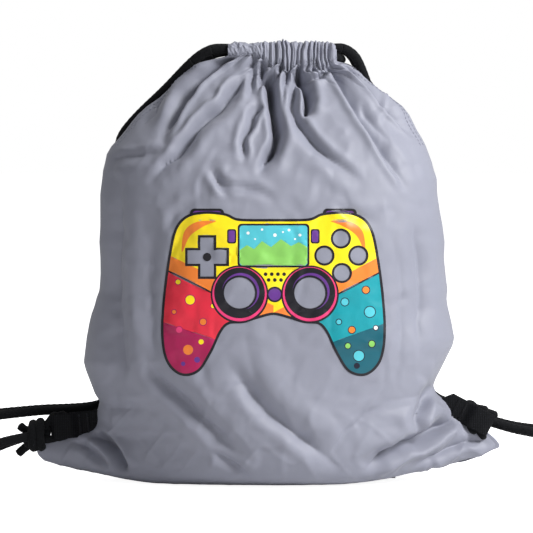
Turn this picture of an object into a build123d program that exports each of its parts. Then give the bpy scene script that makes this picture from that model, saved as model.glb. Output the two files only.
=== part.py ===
from build123d import *
import math
import os

# Drawstring gym sack (drawstring backpack), stuffed, standing on its base.
# Frame: +Z up, -Y is the printed front, +X is to the right when looking at that front.
# The origin is on the floor under the bag; the seam plane is y = 0.  Millimetres.

# ---------------------------------------------------------------- driving sizes
FABRIC_T = 1.2            # panel thickness
SEAM_GAP = 0.15           # half of the gap between the two panels at the seam plane

CORD_R = 3.5              # drawcord radius
BORE_R = 3.6              # channel tunnel radius around one cord
CORD_Y = 9.0              # distance of the cords from the seam plane inside the hem
LEFT_CORD_Z = 313.0       # height of the left cord inside the hem
RIGHT_CORD_Z = 304.6      # height of the right cord inside the hem
EXIT_LEN = 22.0           # straight cord outside the hem
RUN_SHORT = 22.0          # each straight run stops this far short of the hem's far end
STRAND_GAP = 1.5          # between a straight run and its shoulder cord

HEM_L, HEM_R = -30.0, 46.0          # gathered hem, left and right end
HEM_BOTTOM, HEM_TOP = 295.0, 318.0
HEM_Y_IN, HEM_Y_OUT = 3.2, 14.8     # hem faces, measured from the seam plane

STITCH_T = 0.5            # thread thickness
STITCH_LIFT = 0.35        # from the sewn surface to the middle of the thread

TAB_W = 18.0              # webbing width
TAB_T = 1.2               # webbing thickness, one layer
TAB_LAYER_GAP = 0.4       # between the two layers
TAB_LEN = 38.0            # from the side seam to the end of the folded eye
TAB_SHIFT = 0.6           # the tab is moved out from its seam point by this much
EYE_R = 4.1               # inner radius of the eye's round ends
EYE_SPAN = 9.0            # between the centres of those round ends
LEFT_TAB_AT = (-127.0, 0.0, 50.0)   # seam point, middle of the webbing width
RIGHT_TAB_AT = (131.0, 0.0, 61.0)
LEFT_TAB_DROP = 6.0       # the tabs hang down by these angles, degrees
RIGHT_TAB_DROP = 20.0

SIDES = ((-1, "front"), (1, "back"))   # sign along Y and the word used in piece names

# Stuffed bag: height, left side, right side, half depth, end shape.
# End shape 0.5 is an ellipse; larger values draw the ends out into the flat bottom corners.
SECTIONS = [
    (0.0, -136.0, 130.0, 52.0, 0.95),
    (8.0, -152.0, 147.0, 60.0, 1.20),
    (18.0, -167.0, 162.0, 66.0, 1.45),
    (26.0, -157.0, 155.0, 69.0, 1.25),
    (36.0, -137.0, 141.0, 71.5, 0.90),
    (50.0, -127.5, 129.5, 73.0, 0.66),
    (62.0, -126.0, 123.0, 74.0, 0.56),
    (90.0, -133.0, 129.0, 76.0, 0.52),
    (130.0, -127.0, 128.0, 76.0, 0.50),
    (180.0, -123.0, 125.0, 74.0, 0.50),
    (225.0, -119.5, 119.0, 66.0, 0.50),
    (255.0, -106.0, 106.0, 50.0, 0.50),
    (283.0, -76.0, 82.0, 26.0, 0.50),
]
ARC_POINTS = 13           # spline points from seam to seam
SEAM_INSET_RATIO = 1.6    # an inset counts this much more along X than along Y


# ---------------------------------------------------------------- helpers
def write(shape, name):
    solids = shape.solids()
    piece = solids[0] if len(solids) == 1 else Compound(children=list(solids))
    export_step(piece, f"parts/{name}.step")


def section_at(z):
    """Left, right, half depth and end shape at a height inside the section table."""
    for low, high in zip(SECTIONS, SECTIONS[1:]):
        if z <= high[0]:
            share = (z - low[0]) / (high[0] - low[0])
            return tuple(a + (b - a) * share for a, b in zip(low[1:], high[1:]))


def skin_y(x, z):
    """Distance of the outer skin from the seam plane at (x, z)."""
    left, right, half_depth, end_shape = section_at(z)
    across = (x - (left + right) / 2) / ((right - left) / 2)
    return half_depth * (1 - across * across) ** end_shape


def skin_arc(z, side, inset, section):
    """Points of one side's skin, shrunk by inset, from the left seam to the right seam."""
    left, right, half_depth, end_shape = section
    left += inset * SEAM_INSET_RATIO
    right -= inset * SEAM_INSET_RATIO
    half_depth -= inset
    middle, half_width = (left + right) / 2, (right - left) / 2
    points = []
    for i in range(ARC_POINTS):
        angle = math.pi * i / (ARC_POINTS - 1)
        # Exact zero at both seams, where rounding would leave a tiny sine.
        sine = math.sin(angle) if 0 < i < ARC_POINTS - 1 else 0.0
        y = SEAM_GAP + (half_depth - SEAM_GAP) * (sine * sine) ** end_shape
        points.append(Vector(middle - half_width * math.cos(angle), side * y, z))
    return points


def strip_wire(outer, inner):
    """Closed wire between two splines whose points run the same way."""
    return Wire([
        Spline(*outer),
        Line(outer[-1], inner[-1]),
        Spline(*inner[::-1]),
        Line(inner[0], outer[0]),
    ])


def skin_sheet(side, near, far):
    """Sheet between two insets from the skin, lofted from the floor's top to the neck."""
    wires = []
    for height, *section in SECTIONS:
        z = max(height, FABRIC_T)
        wires.append(strip_wire(skin_arc(z, side, near, section), skin_arc(z, side, far, section)))
    return Solid.make_loft(wires, ruled=False)


def cord(points):
    path = Spline(*[Vector(*point) for point in points])
    start = Plane(origin=path @ 0, z_dir=path % 0)
    return sweep(start * Circle(CORD_R), path=path)


def rod_x(x_start, x_end, y, z, radius):
    return Pos((x_start + x_end) / 2, y, z) * Rot(0, 90, 0) * Cylinder(radius, abs(x_end - x_start))


# ---------------------------------------------------------------- fabric panels
def panel(side):
    """Half of the stuffed skin with its floor, open at the neck and at the seam plane."""
    wall = skin_sheet(side, 0.0, FABRIC_T)
    skin = skin_arc(0.0, side, 0.0, SECTIONS[0][1:])
    outline = Wire([Spline(*skin), Line(skin[-1], skin[0])])
    return wall + extrude(Face(outline), amount=FABRIC_T, dir=(0, 0, 1))


# ------------------------------------------------- seam allowances, inside the bag
ALLOWANCE_W = 9.0
ALLOWANCE_T = 0.9
ALLOWANCE_INSET = 7.0     # from the side of the skin to the allowance's outer edge
ALLOWANCE_HEIGHTS = [74, 90, 110, 130, 155, 180, 225, 250, 268]
BOTTOM_ALLOWANCE_LEN = 190.0
BOTTOM_ALLOWANCE_Z = 1.5  # its lower edge


def side_allowance(sign):
    """Strip that follows one side seam; sign is -1 for left, 1 for right."""
    outer, inner = [], []
    for z in ALLOWANCE_HEIGHTS:
        left, right, _, _ = section_at(z)
        edge = (right if sign > 0 else left) - sign * ALLOWANCE_INSET
        outer.append(Vector(edge, ALLOWANCE_T / 2, z))
        inner.append(Vector(edge - sign * ALLOWANCE_W, ALLOWANCE_T / 2, z))
    return extrude(Face(strip_wire(outer, inner)), amount=ALLOWANCE_T, dir=(0, -1, 0))


def bottom_allowance():
    """Upright strip along the middle of the floor."""
    base_middle = (SECTIONS[0][1] + SECTIONS[0][2]) / 2
    return Pos(base_middle, 0, BOTTOM_ALLOWANCE_Z + ALLOWANCE_W / 2) * Box(
        BOTTOM_ALLOWANCE_LEN, ALLOWANCE_T, ALLOWANCE_W)


# ---------------------------------------------------------------- gathered hem
HEM_FILLET = 1.2
# Neck ends: height, middle x, distance from the seam plane, width, thickness
NECK_LOW = (285.5, 4.0, 24.0, 104.0, 2.4)
NECK_HIGH = (296.0, 8.0, 9.4, 76.0, 9.0)
BORE_OVERRUN = 5.0        # the tunnel cutters stick out past the hem

LOCKSTITCH_LEN = 2.6
LOCKSTITCH_PITCH = 4.0
LOCKSTITCH_MARGIN_L = 3.0
LOCKSTITCH_MARGIN_R = 4.0
LOCKSTITCH_RISE = 3.0     # above the hem's lower edge


def neck_outline(side, station):
    z, x, y, width, thickness = station
    sketch = Plane.XY.offset(z) * (Pos(x, side * y) * Rectangle(width, thickness))
    return sketch.face().outer_wire()


def channel(side):
    """One side of the hem with two cord tunnels, and the gathered neck under it."""
    y_middle = side * (HEM_Y_IN + HEM_Y_OUT) / 2
    body = Pos((HEM_L + HEM_R) / 2, y_middle, (HEM_BOTTOM + HEM_TOP) / 2) * Box(
        HEM_R - HEM_L, HEM_Y_OUT - HEM_Y_IN, HEM_TOP - HEM_BOTTOM)
    body = fillet(body.edges().filter_by(Axis.X).group_by(Axis.Z)[-1], HEM_FILLET)
    outlines = [neck_outline(side, NECK_LOW), neck_outline(side, NECK_HIGH)]
    body = body + Solid.make_loft(outlines, ruled=True)
    for z in (LEFT_CORD_Z, RIGHT_CORD_Z):
        body = body - rod_x(HEM_L - BORE_OVERRUN, HEM_R + BORE_OVERRUN, side * CORD_Y, z, BORE_R)
    return body


def channel_stitches(side):
    """Row of lockstitches along the lower edge of the hem, on its outer face."""
    y, z = side * (HEM_Y_OUT + STITCH_LIFT), HEM_BOTTOM + LOCKSTITCH_RISE
    stitches = []
    x = HEM_L + LOCKSTITCH_MARGIN_L
    while x < HEM_R - LOCKSTITCH_MARGIN_R:
        stitch = Box(LOCKSTITCH_LEN, STITCH_T, STITCH_T)
        stitches.append(Pos(x + LOCKSTITCH_LEN / 2, y, z) * stitch)
        x += LOCKSTITCH_PITCH
    return Compound(children=stitches)


# ---------------------------------------------------------------- drawcords at the hem
# Half of a far turn: distance past the hem end, distance from the seam plane, height shift.
TURN_POINTS = [(1.0, CORD_Y, 0.0), (6.5, 6.8, 0.5), (9.0, 0.0, 1.0)]


def left_cord_run(side):
    return rod_x(HEM_L - EXIT_LEN, HEM_R - RUN_SHORT, side * CORD_Y, LEFT_CORD_Z, CORD_R)


def right_cord_run(side):
    return rod_x(HEM_L + RUN_SHORT, HEM_R + EXIT_LEN, side * CORD_Y, RIGHT_CORD_Z, CORD_R)


def far_turn(hem_end, sign, cord_z):
    """Bend from the front hem to the back hem, past the hem end on the sign side of X."""
    front = [(hem_end + sign * x, -y, cord_z + sign * z) for x, y, z in TURN_POINTS]
    back = [(x, -y, z) for x, y, z in front[-2::-1]]
    return cord(front + back)


# ---------------------------------------------------------------- shoulder cords
BACK_OFFSET = 6.4         # cord centre behind the skin


def on_back(x, z):
    return (x, skin_y(x, z) + BACK_OFFSET, z)


LEFT_STRAND_X = HEM_L - EXIT_LEN - STRAND_GAP
RIGHT_STRAND_X = HEM_R + EXIT_LEN + STRAND_GAP

# Centre line points (x, y, z) from the hem, down the bag's back, out along the floor
# and up to the knot.  "front" and "back" say which hem the strand leaves.
SHOULDER_STRANDS = {
    "left_shoulder_cord_front": [
        (LEFT_STRAND_X, -CORD_Y, LEFT_CORD_Z), (-61.0, -8.0, 310.5), (-72.5, -2.0, 301.5),
        (-86.0, 9.0, 287.0), (-100.0, 24.0, 268.0), (-103.0, 42.0, 248.0),
        (-98.0, 54.0, 225.0), on_back(-94.0, 180.0), on_back(-95.0, 130.0),
        on_back(-101.0, 90.0), (-110.5, 43.5, 70.0), (-122.5, 29.0, 58.0),
        (-135.0, 19.5, 53.6), (-150.0, 15.4, 52.6), (-175.0, 13.6, 51.6),
        (-200.0, 11.0, 46.5), (-228.0, 6.0, 34.5), (-250.0, 1.0, 19.0),
        (-255.5, -3.0, 10.5), (-247.0, -6.5, 4.6), (-230.0, -7.5, 6.8),
        (-212.0, -6.0, 16.0), (-200.5, -5.0, 25.0), (-191.5, -4.4, 34.0),
    ],
    "left_shoulder_cord_back": [
        (LEFT_STRAND_X, CORD_Y, LEFT_CORD_Z), (-61.0, 10.2, 310.0), (-71.0, 14.5, 300.0),
        (-82.0, 22.0, 285.0), (-92.0, 36.0, 266.0), (-94.0, 52.0, 246.0),
        (-90.0, 62.0, 223.0), on_back(-85.5, 180.0), on_back(-86.5, 130.0),
        on_back(-92.0, 90.0), (-101.0, 56.8, 70.5), (-117.5, 43.0, 59.5),
        (-133.0, 31.0, 54.2), (-150.0, 24.6, 52.8), (-175.0, 21.8, 51.6),
        (-200.0, 19.2, 46.5), (-228.0, 14.2, 34.5), (-250.0, 9.2, 19.0),
        (-255.5, 5.0, 10.5), (-247.0, 1.6, 4.6), (-230.0, 0.8, 6.8),
        (-212.0, 2.4, 16.0), (-200.5, 3.6, 25.0), (-191.5, 4.4, 34.0),
    ],
    "right_shoulder_cord_front": [
        (RIGHT_STRAND_X, -CORD_Y, RIGHT_CORD_Z), (76.5, -7.5, 303.0), (85.5, -1.5, 295.5),
        (92.5, 9.0, 283.0), (99.0, 24.0, 266.0), (102.0, 42.0, 246.0),
        (98.0, 54.0, 224.0), on_back(94.0, 180.0), on_back(95.0, 130.0),
        on_back(100.0, 95.0), (110.0, 43.5, 70.0), (123.0, 31.5, 58.0),
        (142.0, 29.5, 50.5), (165.0, 27.8, 44.5), (190.0, 22.0, 41.0),
        (221.0, 14.6, 33.0), (247.0, 8.0, 19.0), (255.0, 3.0, 10.5),
        (246.0, -1.5, 4.6), (228.0, -2.5, 8.5), (208.0, 0.0, 22.0),
        (190.0, 4.0, 34.0), (171.5, 9.2, 40.4),
    ],
    "right_shoulder_cord_back": [
        (RIGHT_STRAND_X, CORD_Y, RIGHT_CORD_Z), (76.0, 10.5, 302.8), (83.5, 16.0, 294.5),
        (88.5, 26.0, 281.0), (92.0, 39.5, 264.0), (93.0, 53.0, 244.0),
        (89.5, 63.0, 222.0), on_back(85.5, 180.0), on_back(86.5, 130.0),
        on_back(91.0, 95.0), (100.5, 56.8, 70.5), (118.0, 43.1, 59.5),
        (142.0, 38.2, 50.8), (165.0, 36.3, 44.7), (190.0, 30.4, 41.2),
        (221.0, 22.8, 33.0), (247.0, 16.6, 19.0), (255.0, 12.0, 10.5),
        (246.0, 7.4, 4.6), (228.0, 5.3, 8.5), (208.0, 7.8, 22.0),
        (190.0, 11.9, 34.0), (171.5, 17.2, 40.4),
    ],
}

# ---------------------------------------------------------------- webbing tabs and knots
# Drawn pointing along +X from the seam at the origin, width along Z, then placed.
EYE_OUTER_R = EYE_R + TAB_T
EYE_FAR_X = TAB_LEN - EYE_OUTER_R       # centre of the eye's outer round end
EYE_NEAR_X = EYE_FAR_X - EYE_SPAN       # centre of the round end next to the seam

BARTACK_X = 13.0          # first stitch bar
BARTACK_PITCH = 1.8
BARTACK_BARS = 4
BARTACK_BAR_W = 0.9
BARTACK_MARGIN = 2.5      # from a bar's end to the webbing edge

LINK_INSET = 0.6          # the cord links stand this far inside the eye's end centres
LINK_EDGE_GAP = 0.3       # cord clearance over the webbing edge
LINK_X = (EYE_NEAR_X + LINK_INSET + TAB_SHIFT, EYE_FAR_X - LINK_INSET + TAB_SHIFT)
KNOT_GAP = 0.4            # between the tab and the tied lump
KNOT_HALF_HEIGHT = 14.5
LEFT_KNOT_R = 9.2
RIGHT_KNOT_R = 8.0
LEFT_KNOT_X = TAB_LEN + TAB_SHIFT + KNOT_GAP + LEFT_KNOT_R    # beyond the end of the tab
RIGHT_KNOT_Y = EYE_OUTER_R + KNOT_GAP + RIGHT_KNOT_R          # behind the tab

SEAM_CUTTER = (60.0, 40.0, 120.0)

left_place = Pos(*LEFT_TAB_AT) * Rot(0, 0, 180) * Rot(0, LEFT_TAB_DROP, 0)
right_place = Pos(*RIGHT_TAB_AT) * Rot(0, RIGHT_TAB_DROP, 0)


def webbing_tab():
    """Two flat layers that open into a long eye."""
    plan = Pos(EYE_NEAR_X / 2, 0) * Rectangle(EYE_NEAR_X, 2 * TAB_T + TAB_LAYER_GAP)
    eye_place = Pos((EYE_NEAR_X + EYE_FAR_X) / 2, 0)
    plan = plan + eye_place * SlotOverall(EYE_SPAN + 2 * EYE_OUTER_R, 2 * EYE_OUTER_R)
    plan = plan - eye_place * SlotOverall(EYE_SPAN + 2 * EYE_R, 2 * EYE_R)
    return Pos(TAB_SHIFT, 0, 0) * (Pos(0, 0, -TAB_W / 2) * extrude(plan.face(), TAB_W))


def seam_cutter(x, z, tilt, sign):
    """Block on the sign side of a tilted plane through (x, z), along the slanting seam."""
    return Pos(x, 0, z) * Rot(0, tilt, 0) * Pos(sign * SEAM_CUTTER[0] / 2, 0, 0) * Box(*SEAM_CUTTER)


def bartack():
    """Stitch bars on both faces, which close the webbing loop next to the seam."""
    y = TAB_T + TAB_LAYER_GAP / 2 + STITCH_LIFT
    bars = []
    for side in (-1, 1):
        for i in range(BARTACK_BARS):
            bar = Box(BARTACK_BAR_W, STITCH_T, TAB_W - 2 * BARTACK_MARGIN)
            bars.append(Pos(BARTACK_X + BARTACK_PITCH * i, side * y, 0) * bar)
    return Compound(children=bars)


def knot(centre, radius, lead):
    """Tied lump and two links through the eye; lead(x) runs from a link's end to the lump."""
    link_z = TAB_W / 2 + CORD_R + LINK_EDGE_GAP
    right_half = Pos(radius, 0) * Rectangle(2 * radius, 2 * KNOT_HALF_HEIGHT)
    profile = Ellipse(radius, KNOT_HALF_HEIGHT).face() & right_half
    body = Pos(*centre) * revolve(Plane.XZ * profile.face(), Axis.Z, 360)
    for x in LINK_X:
        body = body + Pos(x, 0, 0) * Cylinder(CORD_R, 2 * link_z)
        for sign in (-1, 1):
            start = Vector(x, 0, sign * link_z)
            end = start + Vector(*lead(x))
            along = end - start
            body = body + Pos(*start) * Sphere(CORD_R) + Pos(*end) * Sphere(CORD_R)
            bar = Pos(0, 0, along.length / 2) * Cylinder(CORD_R, along.length)
            body = body + Plane(origin=start, z_dir=along) * bar
    return body


def left_knot():
    return knot((LEFT_KNOT_X, 0, 0), LEFT_KNOT_R, lambda x: (LEFT_KNOT_X - x, 0, 0))


def right_knot():
    return knot((sum(LINK_X) / 2, RIGHT_KNOT_Y, 0), RIGHT_KNOT_R, lambda x: (0, RIGHT_KNOT_Y, 0))


# ---------------------------------------------------------------- transfer print
# Game-pad motif: a rounded body with two grips, drawn in the XZ plane.
PRINT_X, PRINT_Z = 0.7, 135.5
FILM_NEAR, FILM_FAR = -0.60, -0.20    # insets from the skin; negative is outside it
FILM_CUT_DEPTH = 120.0
# Right half of the outline, x and z from the print centre, from the top to the bottom.
HALF_OUTLINE = [
    (0.0, 38.0), (22.0, 38.6), (40.0, 46.0), (56.0, 46.0), (70.0, 32.0), (77.0, 4.0),
    (80.0, -26.0), (78.5, -52.0), (67.0, -62.5), (54.0, -54.0), (46.0, -28.0),
    (38.0, -19.0), (24.0, -18.0), (0.0, -18.0),
]


def print_film():
    """Film lofted through the panel's stations, so that it lies parallel to the skin."""
    right = [Vector(PRINT_X + x, 0, PRINT_Z + z) for x, z in HALF_OUTLINE]
    left = [Vector(PRINT_X - x, 0, PRINT_Z + z) for x, z in HALF_OUTLINE[::-1]]
    motif = Face(Wire([Spline(*right), Spline(*left)]))
    sheet = skin_sheet(-1, FILM_NEAR, FILM_FAR)
    return sheet & extrude(motif, amount=FILM_CUT_DEPTH, dir=(0, -1, 0))


# ---------------------------------------------------------------- write the pieces
os.makedirs("parts", exist_ok=True)

for side, word in SIDES:
    write(panel(side), f"{word}_panel")
    write(channel(side), f"{word}_channel")
    write(channel_stitches(side), f"{word}_channel_stitching")
    write(left_cord_run(side), f"left_cord_{word}_run")
    write(right_cord_run(side), f"right_cord_{word}_run")

write(side_allowance(-1), "left_side_seam_allowance")
write(side_allowance(1), "right_side_seam_allowance")
write(bottom_allowance(), "bottom_seam_allowance")

write(far_turn(HEM_R, 1, LEFT_CORD_Z), "left_cord_far_turn")
write(far_turn(HEM_L, -1, RIGHT_CORD_Z), "right_cord_far_turn")
for name, points in SHOULDER_STRANDS.items():
    write(cord(points), name)

left_cutter = seam_cutter(-141.6, 38.0, 33.7, 1)
right_cutter = seam_cutter(134.4, 48.0, -28.0, -1)
write(left_place * webbing_tab() - left_cutter, "left_webbing_tab")
write(right_place * webbing_tab() - right_cutter, "right_webbing_tab")
write(left_place * bartack(), "left_tab_bartack")
write(right_place * bartack(), "right_tab_bartack")
write(left_place * left_knot(), "left_cord_knot")
write(right_place * right_knot(), "right_cord_knot")

write(print_film(), "front_print_film")
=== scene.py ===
"""Drawstring sack standing upright: cloth body, gathered hem, cords, webbing tabs and a print.

x runs to the right and z up, the front faces -y and the floor is z = 0. The front and back
cloths meet in the seam plane y = 0. Shapes are written in millimetres, fitted to the frame
by SCALE and turned into metres when a mesh is made. "left" is the -x side, "right" the +x side.
"""
import math

import bpy
import numpy as np
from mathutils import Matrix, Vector
from mathutils.bvhtree import BVHTree
from mathutils.geometry import delaunay_2d_cdt


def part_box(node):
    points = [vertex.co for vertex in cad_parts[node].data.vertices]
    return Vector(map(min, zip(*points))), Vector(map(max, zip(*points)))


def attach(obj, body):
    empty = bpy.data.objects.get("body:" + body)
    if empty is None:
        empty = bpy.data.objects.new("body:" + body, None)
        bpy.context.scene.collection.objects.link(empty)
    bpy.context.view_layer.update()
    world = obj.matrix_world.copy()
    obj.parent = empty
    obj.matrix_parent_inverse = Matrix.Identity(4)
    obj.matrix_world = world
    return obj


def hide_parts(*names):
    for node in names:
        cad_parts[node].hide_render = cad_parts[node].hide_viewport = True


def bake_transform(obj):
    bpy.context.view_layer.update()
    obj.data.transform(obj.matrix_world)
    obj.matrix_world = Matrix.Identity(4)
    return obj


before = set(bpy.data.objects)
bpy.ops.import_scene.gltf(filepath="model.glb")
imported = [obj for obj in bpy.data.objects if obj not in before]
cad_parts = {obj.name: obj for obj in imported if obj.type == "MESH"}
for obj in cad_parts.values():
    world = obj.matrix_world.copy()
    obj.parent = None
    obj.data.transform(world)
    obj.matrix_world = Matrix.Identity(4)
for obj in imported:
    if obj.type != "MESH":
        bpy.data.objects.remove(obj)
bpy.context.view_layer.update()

MM = 0.001

# ---------------------------------------------------------------- fit to the frame
FRONT_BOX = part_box("front_panel")
BACK_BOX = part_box("back_panel")
HEM_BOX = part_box("front_channel")
# the tables below describe a sack 329.4 wide, 152.2 deep and 318 high
SCALE = np.array([
    (FRONT_BOX[1][0] - FRONT_BOX[0][0]) / (329.4 * MM),
    (BACK_BOX[1][1] - FRONT_BOX[0][1]) / (152.2 * MM),
    HEM_BOX[1][2] / (318.0 * MM),
])
HEM_TOP = HEM_BOX[1][2] / MM + 5.0

# ---------------------------------------------------------------- the view
LENS = 230.0
SENSOR = 36.0
VIEW_WIDTH = 391.755
ELEVATION = math.radians(3.0)
COS_E, SIN_E = math.cos(ELEVATION), math.sin(ELEVATION)
AIM = np.array([-3.3075, 0.0, 158.3925])
DISTANCE = VIEW_WIDTH / (SENSOR / LENS)
EYE = AIM + np.array([0, -COS_E, SIN_E]) * DISTANCE

# side: -1 is the front, +1 the back
SIDE_WORD = {-1: "front", 1: "back"}
SEED = {-1: 11, 1: 57}


def to_metres(point):
    return tuple((np.asarray(point, float) * SCALE * MM).tolist())


def seen_place(x, y, z):
    """Where a point appears to the camera: x and z in the upright plane through AIM."""
    dx, dz = x - AIM[0], z - AIM[2]
    up = dz * COS_E + y * SIN_E
    depth = DISTANCE + y * COS_E - dz * SIN_E
    return AIM[0] + dx * DISTANCE / depth, AIM[2] + up * DISTANCE / depth


def view_ray(x, z):
    """Direction from the eye to a seen place."""
    up = z - AIM[2]
    return np.array([x - AIM[0], COS_E * DISTANCE + up * SIN_E, -SIN_E * DISTANCE + up * COS_E])


# ---------------------------------------------------------------- numeric tools
def ease(start, end, x):
    """0 before start, 1 after end, smooth between."""
    t = np.clip((x - start) / (end - start), 0, 1)
    return t * t * (3 - 2 * t)


def spline_step(p0, p1, p2, p3, f):
    """Catmull-Rom point at share f between p1 and p2."""
    m1 = (p2 - p0) * 0.5
    m2 = (p3 - p1) * 0.5
    return ((2 * f**3 - 3 * f**2 + 1) * p1 + (f**3 - 2 * f**2 + f) * m1
            + (-2 * f**3 + 3 * f**2) * p2 + (f**3 - f**2) * m2)


def spline(knots, t):
    """Open spline through rows of knots, sampled at t in 0..1."""
    knots = np.asarray(knots, float)
    last = len(knots) - 1
    x = np.clip(t, 0, 1) * last
    i = np.clip(np.floor(x).astype(int), 0, last - 1)
    around = [knots[np.clip(i + k, 0, last)] for k in (-1, 0, 1, 2)]
    return spline_step(*around, (x - i)[:, None])


def closed_spline(points, per_knot=8):
    knots = np.array(points, float)
    n = len(knots)
    return [tuple(spline_step(*(knots[(i + k) % n] for k in (-1, 0, 1, 2)), f))
            for i in range(n) for f in np.linspace(0, 1, per_knot, endpoint=False)]


noise_tables = {}


def noise(x, y, seed):
    """Smooth lattice noise in -1..1."""
    if seed not in noise_tables:
        noise_tables[seed] = np.random.RandomState(1000 + seed).rand(256, 256) * 2 - 1
    table = noise_tables[seed]
    xi, yi = np.floor(x).astype(int), np.floor(y).astype(int)
    fx, fy = x - xi, y - yi
    fx = fx * fx * fx * (fx * (fx * 6 - 15) + 10)
    fy = fy * fy * fy * (fy * (fy * 6 - 15) + 10)
    x0, x1, y0, y1 = xi % 256, (xi + 1) % 256, yi % 256, (yi + 1) % 256
    return ((table[x0, y0] * (1 - fx) + table[x1, y0] * fx) * (1 - fy)
            + (table[x0, y1] * (1 - fx) + table[x1, y1] * fx) * fy)


def unit_rows(vectors):
    return vectors / np.linalg.norm(vectors, axis=-1, keepdims=True)


def arc_length(path):
    return np.r_[0, np.cumsum(np.linalg.norm(np.diff(path, axis=0), axis=1))]


def along_columns(t, s, table):
    """Each column of table interpolated at t."""
    return np.stack([np.interp(t, s, table[:, k]) for k in range(table.shape[1])], -1)


def resample(points, step):
    """Spline through points at an even spacing near step, with its arc length."""
    dense = spline(points, np.linspace(0, 1, 60 * len(points)))
    s = arc_length(dense)
    t = np.linspace(0, s[-1], max(4, int(round(s[-1] / step)) + 1))
    return along_columns(t, s, dense), t


def relax(path, rounds):
    """Evens out bends; the ends stay."""
    path = path.copy()
    for _ in range(rounds):
        path[1:-1] = path[1:-1] * 0.5 + 0.25 * (path[:-2] + path[2:])
    return path


# ---------------------------------------------------------------- mesh tools
def new_mesh(name, verts, faces, materials, face_materials=None):
    """Smooth-shaded object from points in millimetres."""
    mesh = bpy.data.meshes.new(name)
    faces = faces if isinstance(faces, list) else faces.tolist()
    mesh.from_pydata((np.asarray(verts, float) * SCALE * MM).tolist(), [], faces)
    for material in materials:
        mesh.materials.append(material)
    if face_materials is not None:
        mesh.polygons.foreach_set("material_index", np.asarray(face_materials, np.int32))
    mesh.polygons.foreach_set("use_smooth", [True] * len(mesh.polygons))
    mesh.update()
    obj = bpy.data.objects.new(name, mesh)
    bpy.context.scene.collection.objects.link(obj)
    return obj


def grid_faces(rows, cols, base=0, flip=False, wrap=False):
    """Quads of a grid of points; wrap joins the last column to the first."""
    r = np.arange(rows - 1)[:, None]
    c = np.arange(cols if wrap else cols - 1)[None, :]
    c2 = (c + 1) % cols
    corners = [r * cols + c, r * cols + c2, (r + 1) * cols + c2, (r + 1) * cols + c]
    quads = base + np.stack(corners, -1).reshape(-1, 4)
    return quads[:, ::-1] if flip else quads


def two_layer_mesh(name, outer, inner, material, flip=False):
    """Closed sheet from two equal grids of points, joined round their edges."""
    rows, cols = outer.shape[:2]
    count = rows * cols
    idx = np.arange(count).reshape(rows, cols)
    loop = np.concatenate([idx[0, :], idx[1:, -1], idx[-1, -2::-1], idx[-2:0:-1, 0]])
    following = np.roll(loop, -1)
    rim = np.stack([loop, loop + count, following + count, following], -1)
    faces = np.concatenate([
        grid_faces(rows, cols, 0, flip),
        grid_faces(rows, cols, count, not flip),
        rim[:, ::-1] if flip else rim,
    ])
    verts = np.concatenate([outer.reshape(-1, 3), inner.reshape(-1, 3)])
    return new_mesh(name, verts, faces, [material])


def grid_normals(points):
    normals = np.cross(np.gradient(points, axis=1), np.gradient(points, axis=0))
    return normals / np.maximum(np.linalg.norm(normals, axis=-1, keepdims=True), 1e-9)


def grid_tree(points):
    """Search tree of a grid's surface."""
    faces = grid_faces(*points.shape[:2])
    return BVHTree.FromPolygons([tuple(p) for p in points.reshape(-1, 3)],
                                [tuple(int(i) for i in face) for face in faces])


def join(parts):
    """One vertex array and face list from several (verts, faces) pairs."""
    verts, faces, base = [], [], 0
    for part_verts, part_faces in parts:
        verts.append(part_verts)
        faces += [[int(i) + base for i in face] for face in part_faces]
        base += len(part_verts)
    return np.concatenate(verts), faces


def rod(rings):
    """Thin tube from rings of points, closed with one face at each end."""
    n, segs = rings.shape[:2]
    faces = grid_faces(n, segs, wrap=True).tolist()
    faces += [list(range(segs - 1, -1, -1)), list(range((n - 1) * segs, n * segs))]
    return rings.reshape(-1, 3), faces


def fan_capped(rings, start, end):
    """Tube from rings of points, closed with a fan to a point at each end."""
    n, segs = rings.shape[:2]
    faces = grid_faces(n, segs, wrap=True).tolist()
    count, far = n * segs, (n - 1) * segs
    for j in range(segs):
        j2 = (j + 1) % segs
        faces.append([count, j2, j])
        faces.append([count + 1, far + j, far + j2])
    return np.concatenate([rings.reshape(-1, 3), [start, end]]), faces


# ---------------------------------------------------------------- materials
def srgb(*levels):
    """Linear colour from 0..255 display levels."""
    shares = [level / 255.0 for level in levels]
    return tuple(c / 12.92 if c <= 0.04045 else ((c + 0.055) / 1.055) ** 2.4 for c in shares)


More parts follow.
